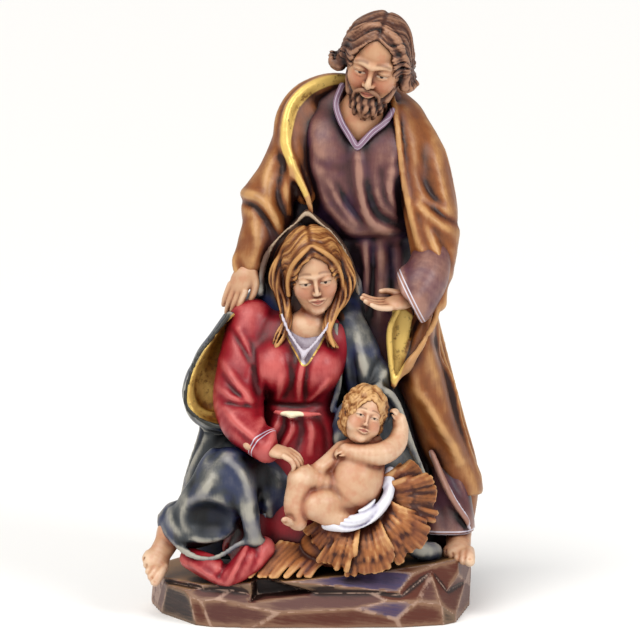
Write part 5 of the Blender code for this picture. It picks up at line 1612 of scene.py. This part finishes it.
    def hair(self) -> Carving:
        """Thick hair, parted in the middle, that turns up at the nape."""
        cap = Carving(HEAD_REACH).add(Ball((0, 0.05, 0.12), (0.372, 0.455, 0.43)))
        cap.add(Ball((0, 0.20, -0.16), (0.33, 0.28, 0.30)), 0.1)
        cap.cut(Ball((0, -0.46, -0.06), (0.285, 0.34, 0.47)), 0.04)
        cap.cut(Block([((0, 0, -0.38), (0, 0, 1))], (-1, -1, -1), (1, 1, 1)), 0.05)
        swept = [(-0.03, -0.17, 0.49, 0.035), (-0.17, -0.16, 0.44, 0.045), (-0.28, -0.12, 0.33, 0.05),
                 (-0.34, -0.06, 0.16, 0.055), (-0.37, -0.03, -0.02, 0.06), (-0.40, -0.03, -0.13, 0.075),
                 (-0.46, -0.04, -0.14, 0.055), (-0.50, -0.04, -0.10, 0.03)]
        forelock = [(0.0, -0.17, 0.49, 0.035), (0.12, -0.21, 0.45, 0.045), (0.23, -0.23, 0.35, 0.05),
                    (0.30, -0.19, 0.22, 0.05), (0.34, -0.12, 0.05, 0.055), (0.35, -0.06, -0.10, 0.065),
                    (0.38, -0.06, -0.20, 0.07), (0.44, -0.07, -0.21, 0.035)]
        for path in (swept, forelock):
            for k in range(self.hair_layers):
                cap.add(Limb([(x * (1 + 0.02 * k), y + 0.11 * k * (1 - 0.3 * j / 7), z - 0.012 * k, r)
                              for j, (x, y, z, r) in enumerate(path)]), 0.03)
        for s in (-1, 1):
            cap.cut(Limb([(s * 0.36, -0.16, -0.30, 0.05), (s * 0.38, 0.0, -0.34, 0.06),
                          (s * 0.38, 0.3, -0.34, 0.06)]), 0.03)
        return Carving().add(self.at_head(Combed(cap, 11.0, 0.018, 0.14)))

    def beard(self) -> Carving:
        """A short full beard of curling locks, and a moustache."""
        b = Carving(HEAD_REACH).add(Ball((0, -0.17, -0.37), (0.19, 0.19, 0.15)))
        b.cut(Ball((0, -0.40, -0.25), (0.085, 0.2, 0.035)), 0.02)
        for s in (-1, 1):
            b.add(Limb([(s * 0.27, -0.06, -0.05, 0.03), (s * 0.26, -0.11, -0.20, 0.045),
                        (s * 0.20, -0.20, -0.34, 0.06)]), 0.04)
            b.add(Limb([(s * 0.01, -0.40, -0.20, 0.022), (s * 0.07, -0.395, -0.215, 0.026),
                        (s * 0.13, -0.345, -0.27, 0.026), (s * 0.145, -0.33, -0.34, 0.018)]), 0.01)
            for i in range(4):
                z = -0.06 - 0.075 * i
                b.add(Limb([(s * (0.275 - 0.01 * i), -0.09 - 0.02 * i, z, 0.022),
                            (s * (0.27 - 0.015 * i), -0.14 - 0.02 * i, z - 0.05, 0.028),
                            (s * (0.235 - 0.015 * i), -0.15 - 0.025 * i, z - 0.10, 0.018)]), 0.01)
        for row, (height, out) in enumerate(((-0.30, 0.335), (-0.37, 0.355), (-0.44, 0.31))):
            for i in range(self.beard_locks):
                a = math.radians(-66 + 22 * i + 7 * row)
                x, y = math.sin(a), -math.cos(a)
                b.add(Limb([(0.17 * x, out * y * 0.9 - 0.02, height, 0.035),
                            (0.20 * x, out * y - 0.03, height - 0.07, 0.036),
                            (0.17 * x + 0.02 * (-1) ** i, out * y - 0.01, height - 0.14, 0.022),
                            (0.14 * x, out * y, height - 0.18, 0.010)], per_span=3), 0.010)
        return Carving().add(self.at_head(b))

    def hands(self) -> dict[str, Carving]:
        """His two hands: one held out over the woman's shoulder, one at the child's side."""
        left = Placed(hand_form(9, 0.01, -0.02), (-31.5, -14, 174),
                      facing((-0.42, -0.10, -0.9), (0.45, 0.85, -0.3)), 29)
        right = Placed(hand_form(14, 0.02, 0.02), (49, -24, 158),
                       facing((-1.0, -0.16, -0.12), (0.0, -0.35, 1.0)), 27)
        return {"man_left_hand": Carving().add(left), "man_right_hand": Carving().add(right)}

    def foot(self) -> Carving:
        """The foot that shows under the robe."""
        return Carving().add(Placed(foot_form(), (73.5, -9.5, 40.0),
                                    facing((-0.05, -1.0, -0.16), (0, 0.16, -1)), 34))

    def pieces(self) -> list[Piece]:
        """Everything of the man."""
        head = self.at_head(head_form())
        cuff = {"cuff": Ring(self.cuff, self.wrist, 18), "hem": Ring((68, -10, 39), (0.0, 0.0, 1.0), 24),
                "seam": self.seam()}
        return [
            Piece("man_robe", self.robe(), Paints.ROBE, self.cloth_step, cuff),
            Piece("man_collar", self.collar(), Paints.COLLAR, self.fine_step, {"band": self.throat()}),
            Piece("man_cloak", self.cloak(), Paints.CLOAK, self.cloth_step, {"gilded": self.lining()}),
            Piece("man_head", self.head(), Paints.MAN_FACE, self.fine_step * FACE_FINER, head=head),
            Piece("man_hair", self.hair(), Paints.MAN_HAIR, self.fine_step, comb=strands(head)),
            Piece("man_beard", self.beard(), Paints.MAN_HAIR, self.fine_step),
            *(Piece(name, form, Paints.SKIN, self.fine_step) for name, form in self.hands().items()),
            Piece("man_foot", self.foot(), Paints.SKIN, self.fine_step)]


@dataclass
class SeatedWoman(Figure):
    """The woman who sits on the ground, in a dress and a wide mantle drawn over her head."""

    head_place: Row = (0.5, -23.0, 172.0)
    head_turn: Row = (14, -7, 4)
    head_size: float = 39.0
    waves: int = 7
    locks: int = 9

    def dress(self) -> Carving:
        """The dress: bodice, belt, sleeve and the hem on the ground."""
        dress = Carving().add(Stack([
            (28, -46, 30, -40, 20), (70, -36, 26, -38, 10), (95, -28, 16, -34, 2), (107, -25, 12, -31, 0),
            (122, -27, 16, -36, 0), (135, -33, 22, -33, 4), (146, -34, 22, -27, 4),
            (152, -22, 14, -22, 2)], edge=5))
        dress.bar((-30, -14, 146, 12), (-33, -20, 128, 13), (-36, -28, 110, 13), (-34, -36, 99, 11),
                  (-28, -43, 93, 9), (-22, -49, 88, 7), blend=3)
        dress.bar((-60, -37, 31, 5.5), (-50, -47, 28.5, 6.5), (-41, -52, 27, 6.5), (-31, -51, 32, 6.5),
                  (-24, -46, 38, 6), blend=4)
        dress.add(Ball((-19, -32, 126), (9, 8, 10)), 9).add(Ball((4, -32, 125), (9, 8, 10)), 9)
        dress.groove((-2, -24, 156, 10), (-3, -34, 146, 6.5), (-4, -39, 138, 2.5), blend=1.5)
        dress.add(self.neckline(0.9), 2.0)
        dress.bar((-18, -34.5, 104, 1.2), (-10, -37, 103.4, 1.9), (-3, -37.5, 103.6, 1.4),
                  (4, -35.5, 102.8, 1.1), blend=1.0)
        ridges = (
            (2.9, -1.6, [(-34, 142), (-29, 130), (-27.5, 116), (-27, 104)]),
            (2.0, -1.0, [(-39, 143), (-35, 136), (-31, 130)]),
            (1.8, 1.3, [(-36, 144), (-32, 137), (-29, 128)]),
            (2.9, 2.1, [(-44, 128), (-37, 119), (-29, 111)]),
            (2.2, -1.2, [(-43, 122), (-37, 114), (-30, 108)]),
            (2.1, 1.4, [(-46, 116), (-38, 112), (-30, 110)]),
            (2.1, -1.3, [(-43, 109.5), (-37, 109), (-31, 108)]),
            (3.1, 1.6, [(-43, 107), (-35, 99), (-26, 92)]), (2.0, -0.8, [(-38, 98), (-31, 93), (-27, 91)]),
            (2.2, 2.2, [(-4, 134), (-6, 120), (-6.5, 110)]),
            (2.0, -0.7, [(-12.5, 132), (-10, 121), (-13, 111)]),
            (2.0, 1.1, [(-15, 122), (-16, 114), (-17, 109)]),
            (2.0, -0.8, [(-1.5, 129), (-3, 118), (-3.2, 109)]),
            (2.0, 1.6, [(8, 120), (3, 113), (-1, 109)]), (1.7, -0.8, [(6, 115), (2, 110), (-1, 107)]),
            (2.3, -0.8, [(-23, 120), (-22, 112), (-20, 108)]),
            (1.7, -1.4, [(-23, 107.5), (-10, 106.5), (4, 107)]),
            (2.3, 1.8, [(-16, 100), (-19, 95), (-23, 88)]),
            (2.3, 2.2, [(-10.5, 101), (-10, 95), (-15, 86)]),
            (2.0, -1.3, [(-13.5, 101), (-14, 95), (-18, 87)]),
            (2.3, -1.3, [(-6, 101), (-5, 94), (-8, 84)]), (2.6, 1.6, [(-2, 101), (0, 94), (-1, 84)]),
            (2.3, -1.0, [(3, 101), (6, 94), (7, 84)]), (2.1, -0.9, [(-20, 102), (-25, 95), (-28, 90)]),
            (1.8, 2.8, [(-41, 22), (-37, 31), (-31, 43)]), (1.8, -1.8, [(-47, 24), (-42, 32), (-37, 42)]),
            (2.0, 1.8, [(-59, 30), (-51, 26), (-43, 22)]), (2.1, -1.2, [(-30, 29), (-27, 36), (-28, 42)]),
            (2.3, -1.0, [(-46, 33), (-42, 31), (-38, 33)]))
        return dress.drawn(ridges, Side.FRONT, -14)

    def neckline(self, radius: float) -> Carving:
        """The V of the neck, as a bar of one thickness."""
        left = [(-15, -30, 152), (-12, -34, 145), (-8, -38, 139), (-4, -40.5, 133.5)]
        right = [(9, -31, 149), (6, -35, 144), (1, -38.5, 138.5), (-4, -40.5, 133.5)]
        return Carving().add(even(left, radius)).add(even(right, radius))

    def inset(self) -> Patch:
        """The pale inset of the neck."""
        return Patch([(-16, 152), (-12.5, 142), (-8, 134), (-3.5, 128), (1.5, 134), (6, 141), (9, 149),
                      (-3, 156)], -20)

    def veil_hollow(self) -> Stack:
        """The opening of the veil, round the face."""
        return Stack([(148, -22, 20, -60, -16), (165, -22, 19, -60, -13), (180, -19, 16, -60, -15),
                      (190, -12, 9, -60, -17), (196, -5, 2, -60, -19)], edge=3)

    def scoop(self) -> Ball:
        """The pocket under the knee, whose walls are painted near-black as painted shade."""
        return Ball((-52, -56, 51.5), (17, 14, 11.5), (0, 8, 0))

    def veil_rim(self) -> Limb:
        """The veil's edge round the face."""
        return Limb([(-25.5, -15, 160, 0.8), (-23.5, -18, 174, 0.9), (-19.8, -20, 184, 0.9),
                     (-13.6, -20.5, 191.5, 0.9), (-8, -20.5, 196, 0.9), (-2.5, -20.5, 201, 1.1),
                     (4, -20.5, 196, 0.9), (10, -20.5, 191, 0.9), (15.4, -20, 183.5, 0.9),
                     (19.8, -18, 173, 0.9), (23, -15, 160, 0.8)])

    def wing_hollow(self) -> Carving:
        """The gilded hollow of the mantle, beside the sleeve."""
        rows = [(98.5, -55, -32, -60, -20), (106, -61, -31, -60, -17), (116, -61.2, -31, -60, -15),
                (129, -55.2, -31, -60, -14), (139, -48.8, -32, -60, -14), (150, -41, -33, -60, -15)]
        return Carving().add(Stack(rows, power=3.0, edge=6))

    def wing_rim(self, radius: float) -> Carving:
        """The mantle's edge round that hollow."""
        rows = [(-41, -22, 150.5), (-49.8, -26, 139.5), (-57.4, -30, 129), (-62.2, -32, 113.5),
                (-61, -33, 105), (-52, -34, 98.4), (-40, -37, 96)]
        return Carving().add(even(rows, radius))

    def mantle(self) -> Carving:
        """The mantle: veil, wing, both sides and the lap."""
        m = Carving().add(Stack([
            (148, -27, 25, -18, 12), (162, -26.5, 24, -20.5, 14), (174, -24.3, 20.8, -21.5, 15),
            (184, -20.6, 16.2, -21.5, 14), (191, -14.5, 11, -21.5, 11), (196, -9, 5.5, -21, 6),
            (200, -5, 0.5, -20, -4), (202, -3.4, -1.6, -19, -10)], edge=1.5))
        m.add(Stack([
            (24, -58, 62, -14, 26), (45, -66, 60, -16, 24), (60, -64, 57, -18, 22),
            (74, -59.5, 53, -18, 19), (88, -55, 45, -14, 16), (108, -52, 39, -12, 14),
            (135, -46, 29, -12, 12), (150, -38, 25, -12, 10), (165, -27, 23, -12, 10)], edge=4), 6)
        m.add(Stack([
            (94, -53, -30, -34, 8), (98.5, -58.5, -30, -34, 8), (105, -62, -29, -33, 8),
            (114, -63, -29, -32, 8), (129, -58, -29, -30, 6), (139.5, -50.5, -28, -27, 4),
            (151, -42.5, -24, -22, 2)], power=3.4, edge=3), 4)
        m.cut(self.wing_hollow(), 1.5).cut(self.veil_hollow(), 3)
        m.add(self.veil_rim(), 2)
        m.add(self.wing_rim(1.1), 2)
        m.bar((-5, -12, 62, 20), (-24, -26, 66, 17), (-43, -34, 70, 15), blend=6)
        m.bar((-43, -36, 70, 16), (-50, -36, 57, 16), (-57, -32, 49, 13.5), (-64, -26, 45, 10.5), blend=6)
        m.bar((-40, -42, 80, 8), (-34, -47, 68, 6.5), (-29.5, -50, 55, 5.5), (-28, -49, 44, 5), blend=4)
        m.cut(self.scoop(), 3)
        m.groove((-19, -44, 76, 3), (-20.5, -47, 60, 3.4), (-21, -48, 46, 3), blend=3)
        m.bar((-73, -24, 48, 1.6), (-69, -36, 40.5, 1.5), (-61, -46, 35, 1.4), (-50, -51, 33.5, 1.4),
              (-42, -52, 37, 1.4), (-34, -51, 41.5, 1.4), (-20, -46, 41, 1.4), blend=4)
        m.bar((17, -14, 146, 9), (24, -16, 128, 11), (30, -18, 110, 11), (28, -26, 98, 9),
              (18, -30, 90, 8), blend=5)
        m.bar((12, -28, 96, 2.2), (16, -30, 106, 2.2), (26, -31, 112, 2.4), (36, -29, 113, 2.4),
              (42, -26, 106, 2.2), (49, -26, 86, 2.0), (57, -26, 66, 1.8), blend=3)
        m.bar((11.5, -24, 146, 1.6), (12.5, -28, 130, 1.7), (13, -28, 116, 1.7), (10, -28, 104, 1.6))
        m.bar((44, -32, 40, 4), (54, -32, 34, 5), (60, -26, 32, 5), blend=4)
        ridges = (
            (3.9, -1.9, [(-54, 84), (-58, 70), (-58, 62)]), (3.4, 2.4, [(-49, 74), (-54, 67), (-58, 62)]),
            (2.6, 1.6, [(-54, 86), (-45, 91), (-34, 93)]), (2.1, -1.2, [(-50, 82), (-43, 87), (-34, 88)]),
            (3.4, 2.2, [(-22, 64), (-21, 54), (-17, 46)]), (2.6, -1.5, [(-27, 66), (-26, 55), (-24, 46)]),
            (3.4, 1.8, [(-72, 58), (-69, 48), (-60, 38)]), (2.6, 1.4, [(-42, 84), (-34, 76), (-29, 62)]),
            (2.1, 2.1, [(-60, 42), (-52, 41), (-42, 43), (-37, 48)]),
            (2.3, 1.4, [(17, 142), (17, 126), (18, 112)]), (3.4, 1.9, [(22, 140), (26, 124), (29, 108)]),
            (2.1, -1.2, [(20, 132), (22, 118), (23, 106)]), (2.3, -1.0, [(36, 132), (30, 124), (27, 112)]),
            (2.6, 1.8, [(38, 124), (33, 117), (28, 106)]), (3.4, -1.7, [(31, 108), (35, 96), (40, 80)]),
            (2.9, 1.4, [(-22, 186), (-26, 172), (-25, 158)]),
            (2.9, 1.3, [(22, 184), (25, 172), (25, 160)]), (3.1, 1.4, [(-26, 162), (-34, 156), (-42, 152)]))
        m.drawn(ridges, Side.FRONT, -4)
        pleats = (
            (4.4, 2.4, [(-12, 184), (-21, 150), (-38, 90), (-56, 40), (-58, 24)]),
            (3.2, -2.2, [(-8, 170), (-16, 130), (-30, 80), (-48, 24)]),
            (4.8, 2.4, [(-3, 186), (-8, 140), (-18, 80), (-36, 24)]),
            (3.2, -2.0, [(3, 164), (0, 120), (-8, 70), (-24, 24)]),
            (4.0, 2.2, [(8, 182), (10, 140), (6, 80), (-10, 24)]),
            (3.4, -2.2, [(14, 160), (20, 110), (20, 60), (8, 24)]),
            (4.6, 2.0, [(20, 150), (30, 100), (36, 50), (30, 24)]))
        m.drawn(pleats, Side.BACK, 0)
        return m.folds(3.0, 2.4,
                       fan([(-24, 120), (-22, 80), (-24, 40), (-26, 26)],
                           [(-3, 120), (2, 80), (12, 40), (13, 26)], 4), Side.LEFT, -40)

    def gilded(self) -> Carving:
        """Where the mantle's inner side shows gold."""
        area = Carving().add(Grown(self.wing_hollow(), 1.3)).add(Ball((-2, -18, 196), (6, 6, 4)))
        return area.add(Limb([(42, -27, 90, 3), (46, -27, 80, 3.4)]))

    def head(self) -> Carving:
        """The head, neck and throat."""
        head = Carving().add(self.at_head(head_form(0.165, 0.55, 0.72)))
        head.bar((-2, -12, 138, 9), (0, -16, 156, 7.5), blend=3)
        return head.add(Ball((-2, -22, 144), (12, 9, 9)), 4)

    def hair(self) -> Carving:
        """Long hair, parted in the middle, in waves down to the breast."""
        cap = Carving(HEAD_REACH).add(Ball((0, 0.06, 0.13), (0.39, 0.46, 0.46)))
        cap.cut(Ball((0, -0.44, -0.14), (0.285, 0.34, 0.47)), 0.04)
        waves = Carving(HEAD_REACH)
        for s in (-1, 1):
            for k in range(self.waves):
                q, up = 0.050 * k, 0.02 * math.sin(k * 2.4)
                waves.add(Limb([(s * 0.015, q - 0.27, 0.45, 0.026), (s * 0.13, q - 0.33, 0.39 + up, 0.032),
                                (s * 0.235, q - 0.315, 0.28 - up, 0.034),
                                (s * 0.30, q - 0.26, 0.14 + up, 0.034),
                                (s * 0.335, q - 0.20, -0.02 - up, 0.034),
                                (s * 0.345, q - 0.16, -0.20 + up, 0.030)]), 0.022)
        hair = Carving().add(self.at_head(Combed(cap, 10.0, 0.018, 0.16))).add(self.at_head(waves), 1.1)
        hair.add(Stack([(148, -15, 14, -23, -8), (165, -20, 19, -23, -8), (180, -18.5, 17, -22, -8),
                        (190, -12, 11, -22, -8)], edge=4), 3)
        falls = (([(-12.5, -25, 184), (-16, -23.5, 176), (-16.8, -23, 167), (-13.6, -25, 158.5),
                   (-12.4, -28.5, 150), (-15.0, -32.5, 142.5), (-18.2, -34.5, 135.5)], -1),
                   ([(12.5, -26, 184), (16, -24.5, 176), (17.2, -24, 168), (14.8, -26, 160),
                     (9.8, -29.5, 152), (8.0, -34, 144.5), (10.8, -35.5, 137.5)], 1))
        for path, s in falls:
            cores = zip(path, (1.4, 2.8, 3.0, 2.3, 1.9, 1.5))
            hair.add(Limb([(x, y + 1.5, z, size) for (x, y, z), size in cores]), 2.5)
            for k in range(self.locks):
                turn, rows = 2 * math.pi * k / self.locks, []
                for j, (x, y, z) in enumerate(path):
                    wide = (1.0, 2.8, 3.3, 2.6, 2.1, 2.0, 1.9)[j]
                    a = turn + s * 0.55 * j
                    wave = 0.7 * math.sin(2.2 * j + 1.3 * k)
                    rows.append((x + wide * math.cos(a) + wave, y + 1.2 + wide * math.sin(a),
                                 z - 0.35 * k * j / 6, 1.15 - 0.11 * j))
                hair.add(Limb(rows), 0.55)
        return hair

    def hand(self) -> Carving:
        """The hand that holds the child's."""
        return Carving().add(Placed(hand_form(34, 0.0, -0.03), (-22, -51, 88.5),
                                    facing((1.0, -0.34, -0.20), (0.0, 0.25, -1.0)), 25))

    def foot(self) -> Carving:
        """The bare foot at the edge of the rock."""
        foot = Carving().add(Placed(foot_form(), (-70.5, -27, 40),
                                    facing((-0.50, -0.78, -0.66), (-0.45, 0.35, -0.9)), 31))
        return foot.bar((-62, -18, 46, 9), (-70, -24, 42, 7), blend=3)

    def pieces(self) -> list[Piece]:
        """Everything of the woman."""
        head = self.at_head(head_form(0.165, 0.55, 0.72))
        dress = {"cuff": Ring((-23.5, -47.5, 89.5), (-0.62, 0.50, 0.50), 11), "inset": self.inset(),
                 # a small pale gold patch on the middle of the belt
                 "belt_patch": Ball((-10, -38, 103.4), (6.5, 3, 1.8))}
        mantle = {"gilded": self.gilded(), "lining": Grown(self.veil_hollow(), 1.2),
                  "rim": self.wing_rim(0.9),
                  "veil": Ball((-1, -12, 178), (28, 19, 27)), "veil_edge": self.veil_rim(),
                  # the walls of the pocket under the knee, for their near-black painted shade
                  "scoop": Grown(self.scoop(), 0.5)}
        return [
            Piece("woman_dress", self.dress(), Paints.DRESS, self.cloth_step * DRESS_FINER, dress),
            Piece("woman_mantle", self.mantle(), Paints.MANTLE, self.cloth_step, mantle),
            Piece("woman_head", self.head(), Paints.WOMAN_FACE, self.fine_step * FACE_FINER, head=head),
            Piece("woman_hair", self.hair(), Paints.WOMAN_HAIR, self.fine_step, comb=strands(head, 0.16)),
            Piece("woman_hand", self.hand(), Paints.SKIN, self.fine_step),
            Piece("woman_foot", self.foot(), Paints.SKIN, self.fine_step)]


@dataclass
class LyingChild(Figure):
    """The child who lies on the straw."""

    head_place: Row = (25.5, -43.0, 103.5)
    head_turn: Row = (-8, 18, 8)
    head_size: float = 28.5
    curls: int = 42

    def body(self) -> Carving:
        """Trunk, arms and legs."""
        b = Carving().bar((25, -38, 92, 6), (26, -39, 86, 10), (23, -42, 79, 13), (20, -45, 70, 14.5),
                          (14, -46, 62, 12), blend=3)
        b.bar((15, -43, 86, 5), (9, -48, 82, 4.2), (4, -52, 79, 3.8))
        b.bar((17, -49.5, 87, 4.0), (25, -52, 86, 5.0), (34, -51, 86, 5.7), (41, -45, 89.5, 5.2),
              (43.5, -41, 96, 4.1), (43, -40, 101, 3.4))
        b.add(Placed(hand_form(50, 0.0), (43, -40.5, 101), facing((-0.35, -0.3, 1.0), (-0.8, 0.5, -0.1)),
                     9.5), 0.4)
        b.bar((10, -47, 66, 10), (-1, -53, 73, 7.5), (-5, -55, 74, 6.8))
        b.bar((-5, -56, 73, 6.8), (-8, -58, 62, 5.8), (-7, -58, 54, 4.8), blend=1.5)
        b.add(Placed(foot_form(), (-6.5, -58, 54), facing((-0.7, -0.55, 0.45), (-0.2, -0.3, -1.0)), 15), 1)
        b.bar((15, -49, 60, 9), (6, -56, 62, 8.2), (2, -58, 62, 7.4))
        b.bar((2, -59, 61, 6.4), (12, -58, 55, 5.6), (18, -56, 54, 4))
        b.add(Placed(hand_form(40, 0.0), (5, -52, 79), facing((-1.0, -0.25, -0.2), (0.1, -0.3, 1.0)), 10),
              0.5)
        b.add(Placed(hand_form(46, 0.0), (18, -50, 87), facing((-1.0, -0.25, 0.1), (0.1, 0.4, -1.0)), 10),
              0.5)
        return b.cut(Ball((20, -61, 68), 0.9), 1.2)

    def head(self) -> Carving:
        """The head, with round cheeks."""
        cheeks = Carving(HEAD_REACH).add(head_form(0.20, 0.45, 0.55))
        for s in (-1, 1):
            cheeks.add(Ball((s * 0.16, -0.22, -0.20), (0.12, 0.11, 0.12)), 0.06)
        return Carving().add(self.at_head(cheeks)).bar((25, -38, 90, 7), (25.5, -40, 97, 6), blend=2)

    def hair(self) -> Carving:
        """Short hair in round curls."""
        cap = Carving(HEAD_REACH).add(Ball((0, 0.08, 0.12), (0.375, 0.45, 0.42)))
        cap.add(Ball((0, 0.10, -0.16), (0.37, 0.30, 0.27)), 0.1)
        cap.cut(Ball((0, -0.48, -0.10), (0.27, 0.36, 0.42)), 0.05)
        return Carving().add(self.at_head(Combed(Curled(cap, self.curls, 0.032, 0.012), 8.0, 0.017, 0.45)))

    def cloth(self) -> Carving:
        """The white cloth wound round the child."""
        cloth = Carving().add(Limb([(7, -59, 52, 2.4), (11, -60.5, 52.5, 3.4), (19, -60, 53.5, 4.4),
                                    (29, -56, 57.5, 4.4), (36.5, -49, 65, 3.6), (38.5, -44, 76, 2.4)],
                                    flat=0.9))
        return cloth.folds(1.2, -1.4,
                           fan([(8, 61), (14, 52.5), (26, 53), (36, 63)],
                               [(12, 66), (19, 58), (29, 60), (37, 70)], 4), Side.FRONT, -30)

    def pieces(self) -> list[Piece]:
        """Everything of the child."""
        head = self.at_head(head_form())
        return [
            Piece("child_body", self.body(), Paints.SKIN, self.fine_step),
            Piece("child_head", self.head(), Paints.CHILD_FACE, self.fine_step * CHILD_FACE_FINER,
                  head=head),
            Piece("child_hair", self.hair(), Paints.CHILD_HAIR, self.fine_step),
            Piece("child_cloth", self.cloth(), Paints.CLOTH, self.fine_step)]


@dataclass
class StrawBed:
    """The bed of straw: bundles of flat blades that fan out from under the child."""

    heart: Row = (25.0, -40.0, 66.0)
    blade_width: float = 3.1
    blade_flat: float = 0.42
    core: float = 12.0
    layers: int = 2
    loose: int = 11
    seed: int = 4
    step: float = 0.72

    def blade(self, angle: float, reach: float, lift: float, width: float) -> Limb:
        """One blade of straw.

        Args:
            angle: its direction seen from the front, in degrees.
            reach: how far it goes from the bed's heart.
            lift: how far it lies over the others.
            width: its width.

        Returns:
            The blade.
        """
        a = math.radians(angle)
        down, rows = max(0.0, -math.sin(a)), []
        for t in (0.0, 0.3, 0.6, 0.85, 1.0):
            far = self.core + (reach - self.core) * t
            x, z = self.heart[0] + far * math.cos(a), self.heart[2] + far * math.sin(a)
            y = self.heart[1] - (7 + 10 * down) * math.sin(t * 2.0) - lift + 12 * (1 - down) * t * t
            rows.append((x, y, z - 1.5 * t * t, width * (0.42 + 0.10 * t)))
        return Limb(rows, flat=self.blade_flat, across=(-0.3 * math.cos(a), -0.85, 0.35), per_span=2)

    def carving(self) -> Carving:
        """The whole bed, with some blades on the ground beside it."""
        bed = Carving().add(Ball((27, -30, 50), (29, 22, 22))).add(Ball((20, -40, 38), (26, 15, 12)), 4)
        rng = np.random.default_rng(self.seed)
        bundles = ((-150, -124, 33, 0.0), (-126, -101, 37, 2.0), (-103, -84, 38, 0.6), (-82, -62, 36, 2.8),
                   (-64, -40, 36, 1.0), (-42, -22, 37, 3.0), (-22, -2, 37, 0.8), (-4, 16, 35, 2.2),
                   (14, 34, 30, 0.4))
        for first, last, reach, over in bundles:
            for layer in range(self.layers):
                blades = 7 - layer
                for i in range(blades):
                    angle = first + (last - first) * (i + 0.5) / blades + rng.uniform(-0.8, 0.8) + 4 * layer
                    far = reach * (1 - 0.17 * layer) * rng.uniform(0.95, 1.05) - 0.5 * i
                    bed.add(self.blade(angle, far, over + 1.8 * layer + 0.35 * i,
                                       self.blade_width * rng.uniform(0.9, 1.1)))
        for i in range(self.loose):
            x, far, turn = -26 + 2.9 * i, 7 + rng.uniform(0, 5), rng.uniform(-1.5, 1.5)
            bed.add(Limb([(x + 11, -42, 40 - 0.6 * i, 1.7), (x + 2 + turn, -49, 31.5, 1.7),
                          (x - 4 + turn * 2, -50 - 0.4 * far, 25.6, 1.5)],
                         flat=0.6, across=(0.2, -0.6, 0.8), per_span=2))
        return bed

    def comb(self, points: np.ndarray) -> np.ndarray:
        """Noise coordinates: close across the blades and long along them."""
        x, z = points[:, 0] - self.heart[0], points[:, 2] - self.heart[2]
        return np.stack([np.arctan2(z, x) * 42, np.hypot(x, z) * 0.12, points[:, 1] * 0.3], 1)

    def pieces(self) -> list[Piece]:
        """The straw."""
        return [Piece("straw_bed", self.carving(), Paints.STRAW, self.step, comb=self.comb)]


@dataclass
class Studio:
    """A pale floor, soft light and the camera."""

    target: Row = (0.004, 0.0, 0.1449)
    frame_width: float = 0.320
    distance: float = 2.0
    elevation: float = 8.0
    floor_radius: float = 10.0
    floor_sides: int = 64
    key_power: float = 2.6
    key_turn: Row = (42, 0, -32)
    key_angle: float = 50.0
    rim_power: float = 9.0
    sky: float = 0.46

    def floor(self) -> None:
        """Lays the floor."""
        turns = [2 * math.pi * i / self.floor_sides for i in range(self.floor_sides)]
        ring = [(self.floor_radius * math.cos(a), self.floor_radius * math.sin(a), 0.0) for a in turns]
        mesh = bpy.data.meshes.new("floor")
        mesh.from_pydata(ring, [], [tuple(range(self.floor_sides))])
        floor = bpy.data.objects.new("floor", mesh)
        bpy.context.scene.collection.objects.link(floor)
        sheet = Sheet("floor_paper")
        mesh.materials.append(sheet.finish(Base_Color=paint(252, 252, 251, 0.97), Roughness=0.9,
                                           Specular_IOR_Level=0.1))

    def lamp(self, name: str, kind: str, place: Row, turn: Row, power: float) -> bpy.types.Light:
        """Hangs a lamp.

        Args:
            name: its name.
            kind: its type.
            place: where it hangs.
            turn: its turn in degrees, from shining straight down.
            power: its power.

        Returns:
            The lamp.
        """
        lamp = bpy.data.lights.new(name, kind)
        lamp.energy = power
        holder = bpy.data.objects.new(name, lamp)
        holder.location = place
        holder.rotation_euler = [math.radians(a) for a in turn]
        bpy.context.scene.collection.objects.link(holder)
        return lamp

    def lights(self) -> None:
        """Hangs the lamps and sets the sky."""
        key = self.lamp("key", "SUN", (-1.0, -1.5, 2.0), self.key_turn, self.key_power)
        key.angle, key.color = math.radians(self.key_angle), (1.0, 0.975, 0.94)
        soft_box = self.lamp("soft_box", "AREA", (0.9, -0.9, 0.9), (55, 0, 45), self.rim_power)
        soft_box.shape, soft_box.size = "DISK", 0.6
        world = bpy.data.worlds.new("sky")
        world.use_nodes = True
        background = world.node_tree.nodes["Background"]
        background.inputs["Color"].default_value = (1.0, 1.0, 1.0, 1.0)
        background.inputs["Strength"].default_value = self.sky
        bpy.context.scene.world = world
        bpy.context.scene.view_settings.view_transform = "Standard"

    def camera(self) -> None:
        """Sets the camera at the photograph's angle."""
        lens = bpy.data.cameras.new("camera")
        lens.sensor_width = 36.0
        lens.lens = lens.sensor_width * self.distance / self.frame_width
        lens.clip_end = 100.0
        holder = bpy.data.objects.new("camera", lens)
        up, target = math.radians(self.elevation), Vector(self.target)
        holder.location = target + Vector((0.0, -math.cos(up), math.sin(up))) * self.distance
        holder.rotation_euler = (target - holder.location).to_track_quat("-Z", "Y").to_euler()
        bpy.context.scene.collection.objects.link(holder)
        bpy.context.scene.camera = holder

    def set_up(self) -> None:
        """Sets up everything."""
        self.floor()
        self.lights()
        self.camera()


def main() -> None:
    """Builds the group piece by piece, and the studio round it."""
    logging.basicConfig(level=logging.INFO, format="%(name)s %(message)s", stream=sys.stdout)
    parts = (RockBase(), StandingMan(), SeatedWoman(), LyingChild(), StrawBed())
    pieces = [piece for part in parts for piece in part.pieces()]
    whole = Carving()
    for piece in pieces:
        whole.add(piece.form)
    surroundings = Surroundings(whole)
    materials: dict[str, bpy.types.Material] = {}
    for piece in pieces:
        piece.built(surroundings, materials)
    Studio().set_up()


if __name__ == "__main__":
    main()
